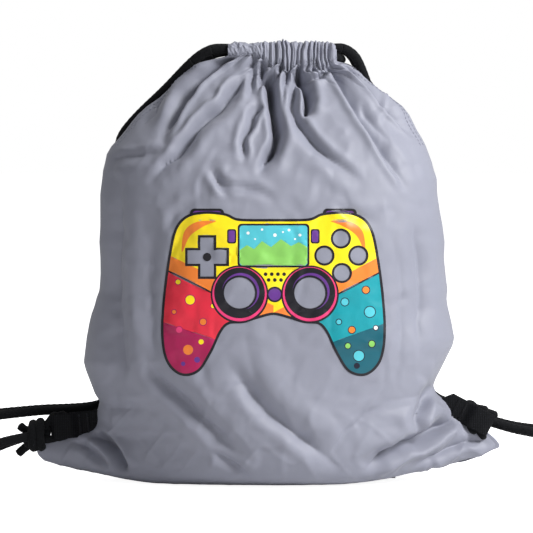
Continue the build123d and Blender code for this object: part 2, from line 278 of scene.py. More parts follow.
class Look:
    """A material being built round its Principled surface."""

    def __init__(self, name):
        self.material = bpy.data.materials.new(name)
        self.material.use_nodes = True
        self.tree = self.material.node_tree
        self.surface = self.tree.nodes["Principled BSDF"]
        self.coords = None

    def feed(self, node, inputs):
        """Sets inputs to values, or links them where an output is given."""
        for key, value in inputs.items():
            if isinstance(value, bpy.types.NodeSocket):
                self.tree.links.new(value, node.inputs[key])
            else:
                node.inputs[key].default_value = value

    def add(self, kind, inputs, **settings):
        node = self.tree.nodes.new("ShaderNode" + kind)
        for key, value in settings.items():
            setattr(node, key, value)
        self.feed(node, inputs)
        return node

    def texture(self, kind, inputs, output="Fac", **settings):
        """Texture laid out in object coordinates."""
        if self.coords is None:
            self.coords = self.add("TexCoord", {}).outputs["Object"]
        node = self.add(kind, {"Vector": self.coords, **inputs}, **settings)
        return node.outputs[output]

    def math(self, operation, first, second):
        return self.add("Math", {0: first, 1: second}, operation=operation).outputs[0]

    def crossed_waves(self, *waves):
        """Product of two band textures, each given as (direction, inputs)."""
        return self.math("MULTIPLY", *[
            self.texture("TexWave", inputs, wave_type="BANDS", bands_direction=direction)
            for direction, inputs in waves])

    def ramp(self, factor, low, high, low_at=0.0, high_at=1.0):
        node = self.add("ValToRGB", {"Fac": factor})
        ends = node.color_ramp.elements
        for end, colour, place in ((ends[0], low, low_at), (ends[1], high, high_at)):
            end.position = place
            end.color = (*colour, 1)
        return node.outputs["Color"]

    def bump(self, height, strength, distance):
        inputs = {"Strength": strength, "Distance": distance, "Height": height}
        return self.add("Bump", inputs).outputs["Normal"]

    def finish(self, **inputs):
        """Feeds the surface; underscores in the names stand for spaces."""
        self.feed(self.surface, {key.replace("_", " "): value for key, value in inputs.items()})
        return self.material


def fabric_material(name, light, dark, roughness, sheen):
    """Cloth with a fine weave and slow changes of tone."""
    look = Look(name)
    tone = look.ramp(look.texture("TexNoise", {"Scale": 9.0, "Detail": 4.0}), dark, light,
                     low_at=0.3, high_at=0.72)
    weave = look.crossed_waves(("X", {"Scale": 420.0, "Distortion": 0.6}),
                               ("Z", {"Scale": 420.0, "Distortion": 0.6}))
    fuzz = look.texture("TexNoise", {"Scale": 260.0, "Detail": 3.0})
    height = look.math("ADD", weave, fuzz)
    colour = look.add("Mix", {"Factor": 0.10, "A": tone, "B": weave},
                      data_type="RGBA", blend_type="MULTIPLY").outputs["Result"]
    return look.finish(
        Normal=look.bump(height, strength=0.12, distance=0.0004), Base_Color=colour,
        Roughness=roughness, Sheen_Weight=sheen, Sheen_Roughness=0.4, Specular_IOR_Level=0.45)


def braid_material(name, light, dark, roughness, fineness=1.0):
    """Braided or spun thread: small cells broken up by noise."""
    look = Look(name)
    cells = look.texture("TexVoronoi", {"Scale": 620.0 * fineness}, output="Distance")
    fuzz = look.texture("TexNoise", {"Scale": 150.0 * fineness, "Detail": 5.0})
    height = look.math("ADD", cells, fuzz)
    return look.finish(
        Base_Color=look.ramp(height, dark, light, low_at=0.45, high_at=0.98),
        Normal=look.bump(height, strength=0.5, distance=0.0005),
        Roughness=roughness, Sheen_Weight=0.04, Specular_IOR_Level=0.16)


def webbing_material(name, light, dark):
    look = Look(name)
    weave = look.crossed_waves(("Z", {"Scale": 260.0, "Distortion": 1.2, "Detail": 2.0}),
                               ("X", {"Scale": 190.0, "Distortion": 1.0}))
    return look.finish(
        Base_Color=look.ramp(weave, dark, light),
        Normal=look.bump(weave, strength=0.42, distance=0.0006),
        Roughness=0.75, Specular_IOR_Level=0.18)


def ink_material(name, levels):
    """Printed colour, slightly uneven."""
    look = Look(name)
    base = srgb(*levels)
    blotch = look.texture("TexNoise", {"Scale": 55.0, "Detail": 4.0})
    colour = look.ramp(blotch, [c * 0.88 for c in base], [min(1, c * 1.06) for c in base],
                       low_at=0.3, high_at=0.75)
    grain = look.texture("TexNoise", {"Scale": 600.0})
    return look.finish(
        Base_Color=colour, Normal=look.bump(grain, strength=0.08, distance=0.0002),
        Roughness=0.42, Specular_IOR_Level=0.4)


FABRIC = fabric_material("sack_polyester", light=srgb(148, 150, 164), dark=srgb(138, 140, 154),
                         roughness=0.56, sheen=0.14)
# a darker copy of the sack cloth with painted shade for the inside of the sack; no piece wears it
fabric_material("sack_inside_painted_shade", light=srgb(120, 121, 134), dark=srgb(105, 106, 118),
                roughness=0.6, sheen=0.1)
THREAD = braid_material("sewing_thread", light=srgb(140, 141, 156), dark=srgb(96, 97, 110),
                        roughness=0.6, fineness=2.0)
CORD = braid_material("cord_braid", light=srgb(15, 16, 19), dark=srgb(3, 4, 5), roughness=0.85)
WEB = webbing_material("webbing", light=srgb(24, 25, 31), dark=srgb(4, 5, 7))
TACK = braid_material("tack_thread", light=srgb(34, 35, 41), dark=srgb(9, 10, 13),
                      roughness=0.7, fineness=2.0)

# ---------------------------------------------------------------- cloth tables
CLOTH_THICKNESS = 0.7

# Outline in the seam plane, listed from the top: height, left x, right x.
SIDES = np.array([
    (311.6, -45.0, 50.5), (305.8, -55.9, 60.0), (299.9, -65.4, 67.6), (294.0, -71.0, 73.2),
    (288.1, -76.0, 80.4), (282.2, -82.5, 88.8), (276.4, -91.0, 96.6), (270.5, -97.6, 101.4),
    (264.6, -102.6, 104.4), (258.7, -107.0, 107.3), (252.8, -111.8, 111.0), (247.0, -117.4, 113.9),
    (241.1, -120.8, 116.1), (235.2, -122.0, 118.3), (229.3, -123.5, 119.8), (223.4, -124.2, 122.0),
    (211.7, -125.7, 122.4), (199.9, -125.7, 124.2), (188.2, -125.7, 126.4), (176.4, -126.4, 127.9),
    (164.6, -125.7, 127.4), (152.9, -125.6, 128.6), (141.1, -126.4, 130.1), (135.2, -128.6, 129.4),
    (129.4, -130.1, 130.1), (123.5, -132.3, 131.6), (117.6, -133.8, 133.0), (105.8, -136.0, 135.2),
    (100.0, -136.7, 133.8), (94.1, -137.4, 130.8), (88.2, -138.2, 127.9), (82.3, -136.7, 125.0),
    (76.4, -134.5, 122.0), (70.6, -132.3, 119.8), (64.7, -130.1, 122.0), (58.8, -126.4, 129.0),
    (52.9, -128.0, 133.8), (47.0, -130.1, 137.0)])[::-1]

# Stations of the front from the floor up: middle y, middle z, left x, left z, right x, right z,
# and the exponent of the cross-section (smaller is fuller).
ROWS = [
    (0.0, 0.9, -167.5, 14.8, 168.5, 24.5, 1.00),
    (-20.0, 0.9, -172.5, 20.4, 168.5, 27.5, 1.20),
    (-42.0, 1.4, -170.5, 27.2, 163.5, 33.0, 1.30),
    (-57.0, 6.0, -158.0, 32.0, 155.0, 39.0, 1.28),
    (-66.5, 16.0, -144.0, 35.0, 144.0, 44.5, 1.12),
    (-72.0, 30.0, -131.0, 39.5, 134.5, 51.5, 0.90),
    (-75.0, 49.0, -127.5, 52.5, 126.0, 62.5, 0.68),
    (-76.5, 71.0, -130.0, 68.0, 121.5, 79.0, 0.56),
    (-77.0, 96.0, -137.5, 92.0, 129.5, 97.0, 0.51),
    (-77.0, 123.0, -133.5, 121.0, 132.0, 121.0, 0.50),
    (-76.0, 151.0, -126.5, 150.0, 128.5, 150.0, 0.50),
    (-74.0, 180.0, -126.0, 180.0, 127.8, 180.0, 0.50),
    (-70.0, 208.0, -125.6, 208.0, 125.5, 208.0, 0.50),
    (-62.5, 233.0, -122.0, 233.0, 119.5, 233.0, 0.50),
    (-53.0, 253.0, -114.5, 252.0, 111.0, 252.0, 0.51),
    (-43.0, 268.0, -104.0, 268.0, 101.0, 268.5, 0.53),
    (-33.5, 280.0, -88.5, 280.0, 92.5, 280.0, 0.56),
    (-24.5, 289.5, -75.5, 291.5, 78.5, 291.5, 0.60),
    (-17.5, 296.5, -61.0, 302.5, 63.5, 302.0, 0.64),
    (-14.0, 301.0, -45.0, 311.5, 51.5, 310.5, 0.68),
    (-12.6, 304.0, -32.0, 318.0, 47.0, 317.0, 0.70),
]

# Folds by seen place: points (x, z) of the run, depth, width to the left and to the right of the
# run, shares over which it fades in and out, shoulder height as a share of the depth.
FOLDS = [
    ([(-3.675, 299.88), (-0.735, 292.53), (0.3675, 285.18), (1.47, 274.89), (3.675, 263.13),
      (4.0425, 255.78), (0, 242.55), (-11.025, 223.44)], 19.0, 3.675, 2.646, 0.04, 0.40, 0.16),
    ([(18.375, 307.23), (20.2125, 297.675), (24.99, 288.855), (27.5625, 280.77),
      (26.46, 271.215), (25.725, 265.335)], 15.0, 3.234, 1.764, 0.04, 0.30, 0.16),
    ([(15.435, 308.7), (17.2725, 289.59), (15.435, 274.89), (24.99, 258.72), (36.015, 245.49),
      (54.39, 230.79), (73.5, 216.825)], 5.4, 2.352, 4.41, 0.1, 0.45, 0.30),
    ([(38.955, 308.7), (46.746, 297.675), (53.655, 285.915), (63.21, 271.215),
      (80.115, 244.755), (94.815, 222.705), (106.575, 205.065)],
     4.6, 4.0425, 1.911, 0.06, 0.45, 0.5),
    ([(-25.725, 311.64), (-34.9125, 308.3325), (-47.04, 297.675), (-59.535, 283.71),
      (-68.355, 270.48), (-75.705, 255.78), (-75.705, 246.96)],
     6.4, 1.6905, 3.381, 0.08, 0.3, 0.42),
    ([(-16.905, 298.41), (-27.195, 288.855), (-34.9125, 276.36), (-47.775, 267.54),
      (-59.535, 254.31), (-75.705, 235.2), (-94.08, 214.62)], 7.4, 4.41, 2.1315, 0.12, 0.42, 0.35),
    ([(-5.145, 277.83), (-11.76, 269.01), (-16.17, 259.455), (-20.2125, 246.225),
      (-20.58, 231.525)], 4.2, 1.617, 2.499, 0.15, 0.4, 0.5),
    ([(-15.435, 310.17), (-12.495, 298.41), (-13.965, 285.18), (-19.11, 271.95)],
     3.6, 4.41, 2.94, 0.1, 0.6, 0.3),
    ([(9.555, 310.17), (11.025, 298.41), (8.82, 283.71), (9.555, 267.54)],
     3.2, 1.617, 1.617, 0.05, 0.6, 0.5),
    ([(-6.615, 305.76), (-6.615, 294.0), (-9.555, 283.71)], 5.0, 1.617, 1.47, 0.05, 0.6, 0.4),
    ([(4.41, 310.17), (5.88, 301.35), (3.675, 292.53)], 5.0, 1.323, 1.617, 0.05, 0.6, 0.4),
    ([(19.11, 303.555), (22.05, 299.145), (26.46, 296.94), (33.075, 296.5725),
      (38.22, 299.145), (39.69, 304.29)], 2.4, 1.029, 1.764, 0.1, 0.2, 0.9),
    ([(29.4, 310.17), (30.87, 304.29), (29.4, 298.41)], 3.4, 1.176, 1.176, 0.1, 0.5, 0.5),
    ([(-122.745, 238.875), (-105.105, 239.2425), (-88.935, 241.08), (-72.765, 243.6525)],
     1.9, 1.911, 3.675, 0.22, 0.45, 0.5),
    ([(-46.305, 232.26), (-36.75, 216.825), (-27.195, 205.065)], 2.8, 2.94, 2.205, 0.3, 0.5, 0.5),
    ([(-39.69, 232.26), (-34.545, 219.03), (-9.555, 214.62), (9.555, 201.39)],
     2.6, 2.352, 2.94, 0.3, 0.5, 0.5),
    ([(63.21, 280.77), (71.295, 269.01), (80.115, 258.72), (88.935, 246.96)],
     5.0, 6.615, 4.41, 0.35, 0.45, 0.22),
    ([(-96.285, 97.02), (-84.525, 74.97), (-60.27, 53.655), (-36.75, 30.87), (-20.58, 11.76)],
     5.6, 6.615, 4.0425, 0.35, 0.35, 0.34),
    ([(-36.015, 92.61), (-22.785, 74.97), (-3.675, 51.45), (14.7, 37.485), (54.39, 5.88)],
     6.0, 7.35, 4.41, 0.35, 0.35, 0.34),
    ([(-47.775, 24.99), (-31.605, 14.7), (-11.025, 2.205)], 2.4, 2.205, 2.94, 0.3, 0.4, 0.5),
    ([(-107.31, 224.91), (-112.455, 183.75), (-113.925, 133.77), (-111.72, 97.02),
      (-105.105, 60.27)], 4.4, 4.41, 7.35, 0.25, 0.3, 0.25),
    ([(-81.585, 210.21), (-88.935, 155.82), (-87.465, 104.37), (-80.115, 74.97)],
     3.0, 8.085, 5.145, 0.4, 0.4, 0.25),
    ([(105.105, 199.92), (110.985, 148.47), (108.045, 80.85)], 3.6, 4.41, 5.88, 0.3, 0.4, 0.3),
    ([(93.345, 180.81), (97.02, 119.07), (89.67, 63.21)], 2.2, 5.88, 4.41, 0.4, 0.4, 0.3),
    ([(-131.565, 36.75), (-123.48, 32.34), (-115.395, 23.52), (-109.515, 13.23),
      (-107.31, 2.94)], 8.0, 2.646, 3.381, 0.12, 0.25, 0.42),
    ([(-152.145, 30.87), (-137.445, 26.46), (-123.48, 16.17), (-113.925, 4.41)],
     3.4, 2.205, 2.94, 0.25, 0.35, 0.5),
    ([(-124.95, 52.92), (-103.635, 54.39), (-84.525, 51.45)], 1.6, 2.94, 4.41, 0.2, 0.6, 0.4),
    ([(121.275, 72.03), (113.19, 58.8), (107.6775, 45.57), (106.9425, 34.545)],
     6.0, 2.205, 4.7775, 0.15, 0.25, 0.45),
    ([(137.445, 49.98), (119.805, 36.015), (96.285, 24.255), (76.44, 13.23), (66.885, 4.41)],
     8.5, 2.94, 4.7775, 0.10, 0.3, 0.45),
    ([(129.36, 61.74), (133.035, 52.92), (130.83, 45.57)], 2.4, 2.205, 2.94, 0.2, 0.4, 0.4),
    ([(163.905, 27.93), (149.205, 30.87), (133.035, 24.99), (115.395, 15.435), (97.755, 5.88)],
     3.4, 2.205, 3.3075, 0.2, 0.4, 0.5),
    ([(93.345, 66.15), (58.065, 36.75), (40.425, 8.82)], 3.2, 5.88, 4.41, 0.4, 0.4, 0.35),
    ([(-81.585, 180.81), (-69.825, 196.98), (-47.775, 210.21)], 2.0, 2.94, 4.41, 0.4, 0.4, 0.4),
    ([(-69.825, 305.76), (-83.055, 280.77), (-97.755, 255.78)], 3.4, 2.94, 4.41, 0.2, 0.5, 0.4),
    ([(49.245, 310.17), (63.21, 295.47), (77.91, 280.035), (94.815, 265.335), (109.515, 249.9)],
     3.6, 3.675, 1.176, 0.08, 0.35, 0.5),
    ([(-55.125, 207.27), (-74.235, 161.7), (-81.585, 111.72)], 1.8, 6.615, 4.41, 0.4, 0.4, 0.3),
    ([(43.365, 207.27), (59.535, 196.98), (88.935, 189.63)], 1.8, 3.675, 3.675, 0.4, 0.5, 0.4),
]

# Place from which the noise patterns of the cloth are measured, right and down.
PATTERN_X, PATTERN_Z = -199.185, 354.27

# ---------------------------------------------------------------- the hem's shape
HEM_X0, HEM_X1 = -31.5, 48.0
HEM_HALF_Y = 5.7         # half its thickness
HEM_MID_Y = 9.6          # distance of its middle from the seam plane
HEM_START = math.radians(-58.0)
HEM_END = math.radians(238.0)


def gathers(share, z, seed):
    """Relief of the gathers along the hem, about -0.55..0.45, and the running ridge number."""
    slant = 0.012 * noise(share * 9.0, z / 9.0, seed + 20)
    slant = slant + 0.006 * noise(share * 31.0, z / 5.0, seed + 23)
    t = np.linspace(0, 1, 120)
    # ridges per length: few in the left third, many and irregular after it
    uneven = np.repeat(np.random.RandomState(seed).rand(40), 3) - 0.45
    rate = (0.30 + 1.1 * ease(0.24, 0.38, t) * (1 - 0.6 * ease(0.88, 1.0, t))
            + 1.5 * uneven * ease(0.2, 0.35, t))
    count = np.cumsum(np.maximum(rate, 0.22))
    count = (count - count[0]) / (count[-1] - count[0]) * 16.0
    ridge = np.interp(np.clip(share + slant, 0, 1), t, count)
    k = np.floor(ridge)
    size = 0.60 + 0.42 * np.sin(k * 2.4 + seed) + 0.34 * np.sin(k * 5.1 + 1.0)
    fine = np.abs(np.sin(math.pi * (ridge * 2.35 + 0.8 * np.sin(k * 1.7))))
    broad = np.abs(np.sin(math.pi * ridge)) ** 0.7 - 0.55
    return broad * (0.45 + 0.6 * size) + 0.16 * (fine - 0.6), ridge


def hem_edges(share, side):
    """Top and bottom height of the hem, and its thinness.

    The left third is a narrow roll, the middle a deep ruffle.
    """
    seed = SEED[side]
    thin = 1 - ease(0.24, 0.40, share)
    top = HEM_TOP + 0.7 * noise(share * 21, 0.0, seed + 9)
    top = top - 3.0 * ease(0.90, 1.0, share) ** 2 - 1.6 * (1 - ease(0.0, 0.06, share))
    if side < 0:
        top = top + 1.6 * np.exp(-(((share - 0.50) / 0.03) ** 2))
    bottom = 304.0 + 3.4 * noise(share * 15, 3.0, seed + 10)
    bottom = bottom * (1 - thin) + 312.6 * thin + 4.0 * ease(0.86, 1.0, share)
    return top, bottom, thin


def hem_row(share, angle, side):
    """Line of points along the hem; angle 0 is its outer face, 90 degrees its top."""
    seed = SEED[side]
    top, bottom, thin = hem_edges(share, side)
    mid, half = (top + bottom) / 2, (top - bottom) / 2
    c, s = np.cos(angle), np.sin(angle)
    round_y = np.sign(c) * np.abs(c) ** 0.66
    round_z = np.sign(s) * np.abs(s) ** 0.70
    pleat, _ = gathers(share, mid + s * half, seed)
    bulge = ((3.1 * np.abs(c) ** 0.5 + 2.3 * np.abs(s)) * (1 - 0.66 * thin) * pleat
             + 0.45 * noise(share * 46, s * 2.2, seed + 12)
             + 0.5 * thin * noise(share * 60 + s * 2.5, s * 3.0, seed + 13))
    # the stitch row pulls the hem in
    nip = np.exp(-(((round_z + 0.66) / 0.15) ** 2)) * 0.55 * (1 - 0.3 * thin)
    sway = 0.55 * noise(share * 15, s * 1.5, seed + 14) * np.sin(math.pi * share)
    return np.stack([
        HEM_X0 + (HEM_X1 - HEM_X0) * share + sway,
        side * (HEM_MID_Y + (HEM_HALF_Y - nip + bulge) * round_y),
        mid + (half + 0.6 * bulge * np.abs(s)) * round_z,
    ], -1)


# ---------------------------------------------------------------- the cloth's shape
def crease(distance, width):
    """V-shaped valley, 1 at its line: nearly flat sides and a tight root."""
    root = 0.40425
    return np.exp(-(np.sqrt(distance**2 + root**2) - root) / (width * 0.95))


def facets(across, down, angle, pitch, seed):
    """Flat faces meeting in crisp edges, like crumpled cloth pulled smooth."""
    a = ((across * math.cos(angle) + down * math.sin(angle)) / pitch
         + 0.9 * noise(across / 33.81, down / 33.81, seed)
         + 0.35 * noise(across / 12.495, down / 12.495, seed + 1))
    t = a - np.floor(a)
    return np.where(t < 0.62, t / 0.62, (1 - t) / 0.38) - 0.5


def polyline_field(x, z, points):
    """Distance to a polyline, side (positive on its left) and share along it."""
    runs = points[1:] - points[:-1]
    lengths = np.hypot(runs[:, 0], runs[:, 1])
    shares = np.r_[0, np.cumsum(lengths)] / lengths.sum()
    best = np.full(x.shape, 1e9)
    side = np.zeros(x.shape)
    along = np.zeros(x.shape)
    for i, (run_x, run_z) in enumerate(runs):
        dx, dz = x - points[i, 0], z - points[i, 1]
        t = np.clip((dx * run_x + dz * run_z) / lengths[i] ** 2, 0, 1)
        distance = np.hypot(dx - t * run_x, dz - t * run_z)
        cross = run_x * (dz - t * run_z) - run_z * (dx - t * run_x)
        nearer = distance < best
        best = np.where(nearer, distance, best)
        side = np.where(nearer, np.sign(cross), side)
        along = np.where(nearer, shares[i] + t * (shares[i + 1] - shares[i]), along)
    return best, side, along


def onto_outline(x, z, column):
    """Moves an edge onto the outline wherever it is above the tabs and below the hem."""
    blend = ease(44.0, 54.0, z) * (1 - ease(308.0, 314.0, z))
    return x + (np.interp(z, SIDES[:, 0], SIDES[:, column]) - x) * blend


def cloth_base(cols, rows):
    """Smooth front half: x, y, z, share across and share up of every grid point."""
    up = np.linspace(0, 1, rows)
    up = up * 0.86 + 0.14 * up**2.2         # closer rows low down
    mid_y, mid_z, left_x, left_z, right_x, right_z, power = (
        column[:, None] for column in spline(ROWS, up).T)
    up = up[:, None]
    even = np.linspace(0, 1, cols)[None, :]
    crowd = 0.72 * (1 - ease(0.82, 0.97, up))   # crowds columns towards the side seams
    share = crowd * 0.5 * (1 - np.cos(math.pi * even)) + (1 - crowd) * even
    left_x = onto_outline(left_x, left_z, 1)
    right_x = onto_outline(right_x, right_z, 2)
    x = left_x + (right_x - left_x) * share
    # how far in from each edge the height follows that edge
    neck = ease(0.80, 0.95, up)
    left_span = 0.28 * (1 - neck) + 0.34 * neck
    right_span = 0.36 * (1 - neck) + 0.16 * neck
    left_pull = np.clip(1 - share / left_span, 0, 1) ** 2
    right_pull = np.clip(1 - (1 - share) / right_span, 0, 1) ** 2
    z = mid_z + (left_z - mid_z) * left_pull + (right_z - mid_z) * right_pull
    section = np.clip(4 * share * (1 - share), 0, 1) ** power
    # in the neck the side edges part from the seam plane towards their own hem
    y = mid_y * section - ease(0.86, 1.0, up) * 8.0 * (1 - section)
    # the body is not an exact oval
    y = y * (1 + 0.05 * np.sin(2.2 * math.pi * share + 0.6) * ease(0.15, 0.5, up))
    return x, y, z, share, up


def fold_relief(side, seen_x, seen_z, across, down):
    """All folds together; the back wears them mirrored and a little displaced."""
    x, z = seen_x, seen_z
    if side > 0:
        x = 1.47 - seen_x + 4.41 * noise(across / 44.1, down / 44.1, 31)
        z = seen_z - 5.88 * noise(across / 36.75, down / 36.75, 32)
    jitter = 1.176 * noise(across / 10.29, down / 10.29, SEED[side] + 5)
    x, z = x + jitter, z - jitter * 0.6
    relief = np.zeros_like(x)
    for points, depth, left_width, right_width, fade_in, fade_out, shoulder in FOLDS:
        run = spline(points, np.linspace(0, 1, 24))
        distance, where, along = polyline_field(x, z, run)
        width = np.where(where < 0, right_width, left_width)
        strength = ease(0.0, fade_in, along + 1e-6) * (1 - ease(1 - fade_out, 1.0, along))
        rise = shoulder * np.exp(-(((distance - 2.3 * width) / (1.35 * width)) ** 2))
        relief += 1.25 * depth * strength * (rise - crease(distance, width))
    return relief


def cloth_relief(side, x, y, z, share, up):
    """Displacement of the smooth cloth along its outward normal."""
    seed = SEED[side]
    seen_x, seen_z = seen_place(x, y, z)
    across, down = seen_x - PATTERN_X, PATTERN_Z - seen_z
    relief = fold_relief(side, seen_x, seen_z, across, down)
    # gathers: full at the hem, gone a little way below it
    pleat, ridge = gathers(share, z, seed)
    _, hem_bottom, thin = hem_edges(share, side)
    k = np.floor(ridge)
    reach = 16.0 + 9.0 * np.sin(k * 1.9) + 3.0 * np.sin(k * 4.3)
    near = np.clip(1 - (hem_bottom - z) / reach, 0, 1)
    relief += 3.4 * pleat * near ** 0.9 * (1 - 0.75 * thin)
    # soft undulation of a filled cloth
    relief += 2.4 * noise(across / 51.45, down / 69.825, seed + 3) * ease(0.04, 0.3, up)
    relief += 0.5 * noise((across + down * 0.35) / 24.99, (down - across * 0.2) / 51.45, seed + 4)
    # crumpled faces: height, direction, pitch, seed step
    patch = np.abs(noise(across / 40.425 + 3, down / 40.425, seed + 21)) * 2
    calm = 0.35 + 0.65 * ease(0.15, 0.6, patch)
    for height, angle, pitch, step in (
            (1.1, 0.35, 61.74, 22), (0.7, 1.25, 48.51, 24), (0.4, -0.75, 32.34, 26)):
        relief += height * facets(across, down, angle, pitch, seed + step) * calm
    # short creases in two directions, stronger low down
    rising = 1 - 2 * np.abs(noise((across * 0.8 + down * 0.6) / 15.435,
                                  (down * 0.8 - across * 0.6) / 32.34, seed + 6))
    falling = 1 - 2 * np.abs(noise((across * 0.7 - down * 0.7) / 18.375,
                                   (down * 0.7 + across * 0.7) / 38.22, seed + 7))
    low = 1 - ease(25.0, 95.0, z)
    relief += (0.12 + 0.8 * low) * np.clip(rising, 0, 1) ** 3
    relief += (0.10 + 0.6 * low) * np.clip(falling, 0, 1) ** 3
    relief += 0.07 * noise(across / 3.675, down / 4.41, seed + 8)
    # calm along the side edges, in a narrower strip near the top, and at the floor
    wide_edge = ease(0.0, 0.05, share) * ease(0.0, 0.05, 1 - share)
    narrow_edge = ease(0.0, 0.025, share) * ease(0.0, 0.025, 1 - share)
    high = ease(0.70, 0.80, up)
    edge = wide_edge * (1 - high) + narrow_edge * high
    return relief * edge * (0.12 + 0.88 * ease(2.0, 14.0, z))


def make_cloth(side, cols, rows):
    """Grid of points and outward normals of one half of the sack."""
    x, y, z, share, up = cloth_base(cols, rows)
    points = np.stack([x, y * -side, z], -1)
    relief = cloth_relief(side, x, y, z, share, up)
    points = points + grid_normals(points) * -side * relief[..., None]
    # the last rows bend into the lower edge of the hem
    hem_edge = hem_row(share[-1], HEM_START, side)
    points = points + (hem_edge - points[-1]) * ease(0.905, 1.0, up)[..., None] ** 1.6
    points[..., 2] = np.maximum(points[..., 2], 0.9)
    # each half keeps to its own side of the seam plane
    points[..., 1] = side * np.maximum(side * points[..., 1], 0.12)
    points[-1] = hem_edge
    return points, grid_normals(points) * -side


cloth = {}
for side, cols, rows in ((-1, 216, 236), (1, 168, 190)):
    word = SIDE_WORD[side]
    points, normals = make_cloth(side, cols, rows)
    cloth[side] = points, normals
    panel = two_layer_mesh(f"{word}_cloth", points, points - normals * CLOTH_THICKNESS,
                           FABRIC, flip=side > 0)
    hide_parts(f"{word}_panel")
    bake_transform(panel)

cloth_tree = {side: grid_tree(cloth[side][0]) for side in (-1, 1)}

# ---------------------------------------------------------------- the hem
hem_angles = np.linspace(HEM_START, HEM_END, 64)
hem = {}
for side, cols in ((-1, 430), (1, 336)):
    word = SIDE_WORD[side]
    share = np.linspace(0, 1, cols)
    points = np.stack([hem_row(share, angle, side) for angle in hem_angles], 0)
    normals = grid_normals(points)
    outward = points - points.mean(0, keepdims=True)
    if np.mean((normals * outward)[..., 1:].sum(-1)) < 0:
        normals = -normals
    hem[side] = points, normals
    roll = two_layer_mesh(f"{word}_hem_gathers", points, points - normals * CLOTH_THICKNESS,
                          FABRIC, flip=side > 0)
    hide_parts(f"{word}_channel")
    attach(roll, f"{word}_lip")

# ---------------------------------------------------------------- braided tubes
BRAID_PITCH = 9.0
CORD_SEGS = 22
KNOT_SEGS = 18


def carried_normals(tangents):
    """Unit vectors across a path, carried along it without twist."""
    start = np.array([0, 0, 1.0]) if abs(tangents[0, 2]) < 0.9 else np.array([1.0, 0, 0])
    carried = np.zeros_like(tangents)
    carried[0] = unit_rows(np.cross(tangents[0], start))
    for i in range(1, len(tangents)):
        before = carried[i - 1]
        carried[i] = unit_rows(before - tangents[i] * np.dot(before, tangents[i]))
    return carried


def braid_rings(path, tangents, carried, arc, radius, relief, segs, twist=0.0, flat=0.0):
    """Rings of points round a path, with the crossing ridges of a braid."""
    across = np.cross(tangents, carried)
    a = np.linspace(0, 2 * math.pi, segs, endpoint=False)[None]
    s = arc[:, None]
    turn = 2 * (2 * math.pi / BRAID_PITCH) * s
    ridges = np.maximum(np.sin(4 * a + turn), np.sin(4 * a - turn))
    radii = (radius - relief + relief * ridges) * (1 + flat * np.cos(2 * a + 0.05 * s))
    angles = (a + twist)[..., None]
    spokes = carried[:, None] * np.cos(angles) + across[:, None] * np.sin(angles)
    return path[:, None] + spokes * radii[..., None]


def open_rings(path, arc, radius, segs=CORD_SEGS, flat=0.0):
    tangents = unit_rows(np.gradient(path, axis=0))
    return braid_rings(path, tangents, carried_normals(tangents), arc, radius,
                       relief=0.13, segs=segs, flat=flat)


def cord_piece(name, path, rings, first, last, tip=0.0):
    """Part of a cord between two path points; tip lengthens its far end to a cone."""
    end = path[last] + unit_rows(path[last] - path[last - 1]) * tip
    verts, faces = fan_capped(rings[first:last + 1], path[first], end)
    piece = new_mesh(name, verts, faces, [CORD])
    for face in piece.data.polygons[-2 * CORD_SEGS:]:
        face.use_smooth = False
    return piece


# ---------------------------------------------------------------- cords
CORD_R = 3.5
CORD_Y = HEM_MID_Y
LEFT_Z, RIGHT_Z = 318.2, 318.6      # height of the cords where they leave the hem
PATH_STEP = 1.15
LIP_LENGTH = 16.0       # from the hem to the end of the exit bend
BAG_LENGTH = 78.0       # from the hem to where the cord follows the bag
TAIL_LENGTH = 44.0      # the end that follows the tab

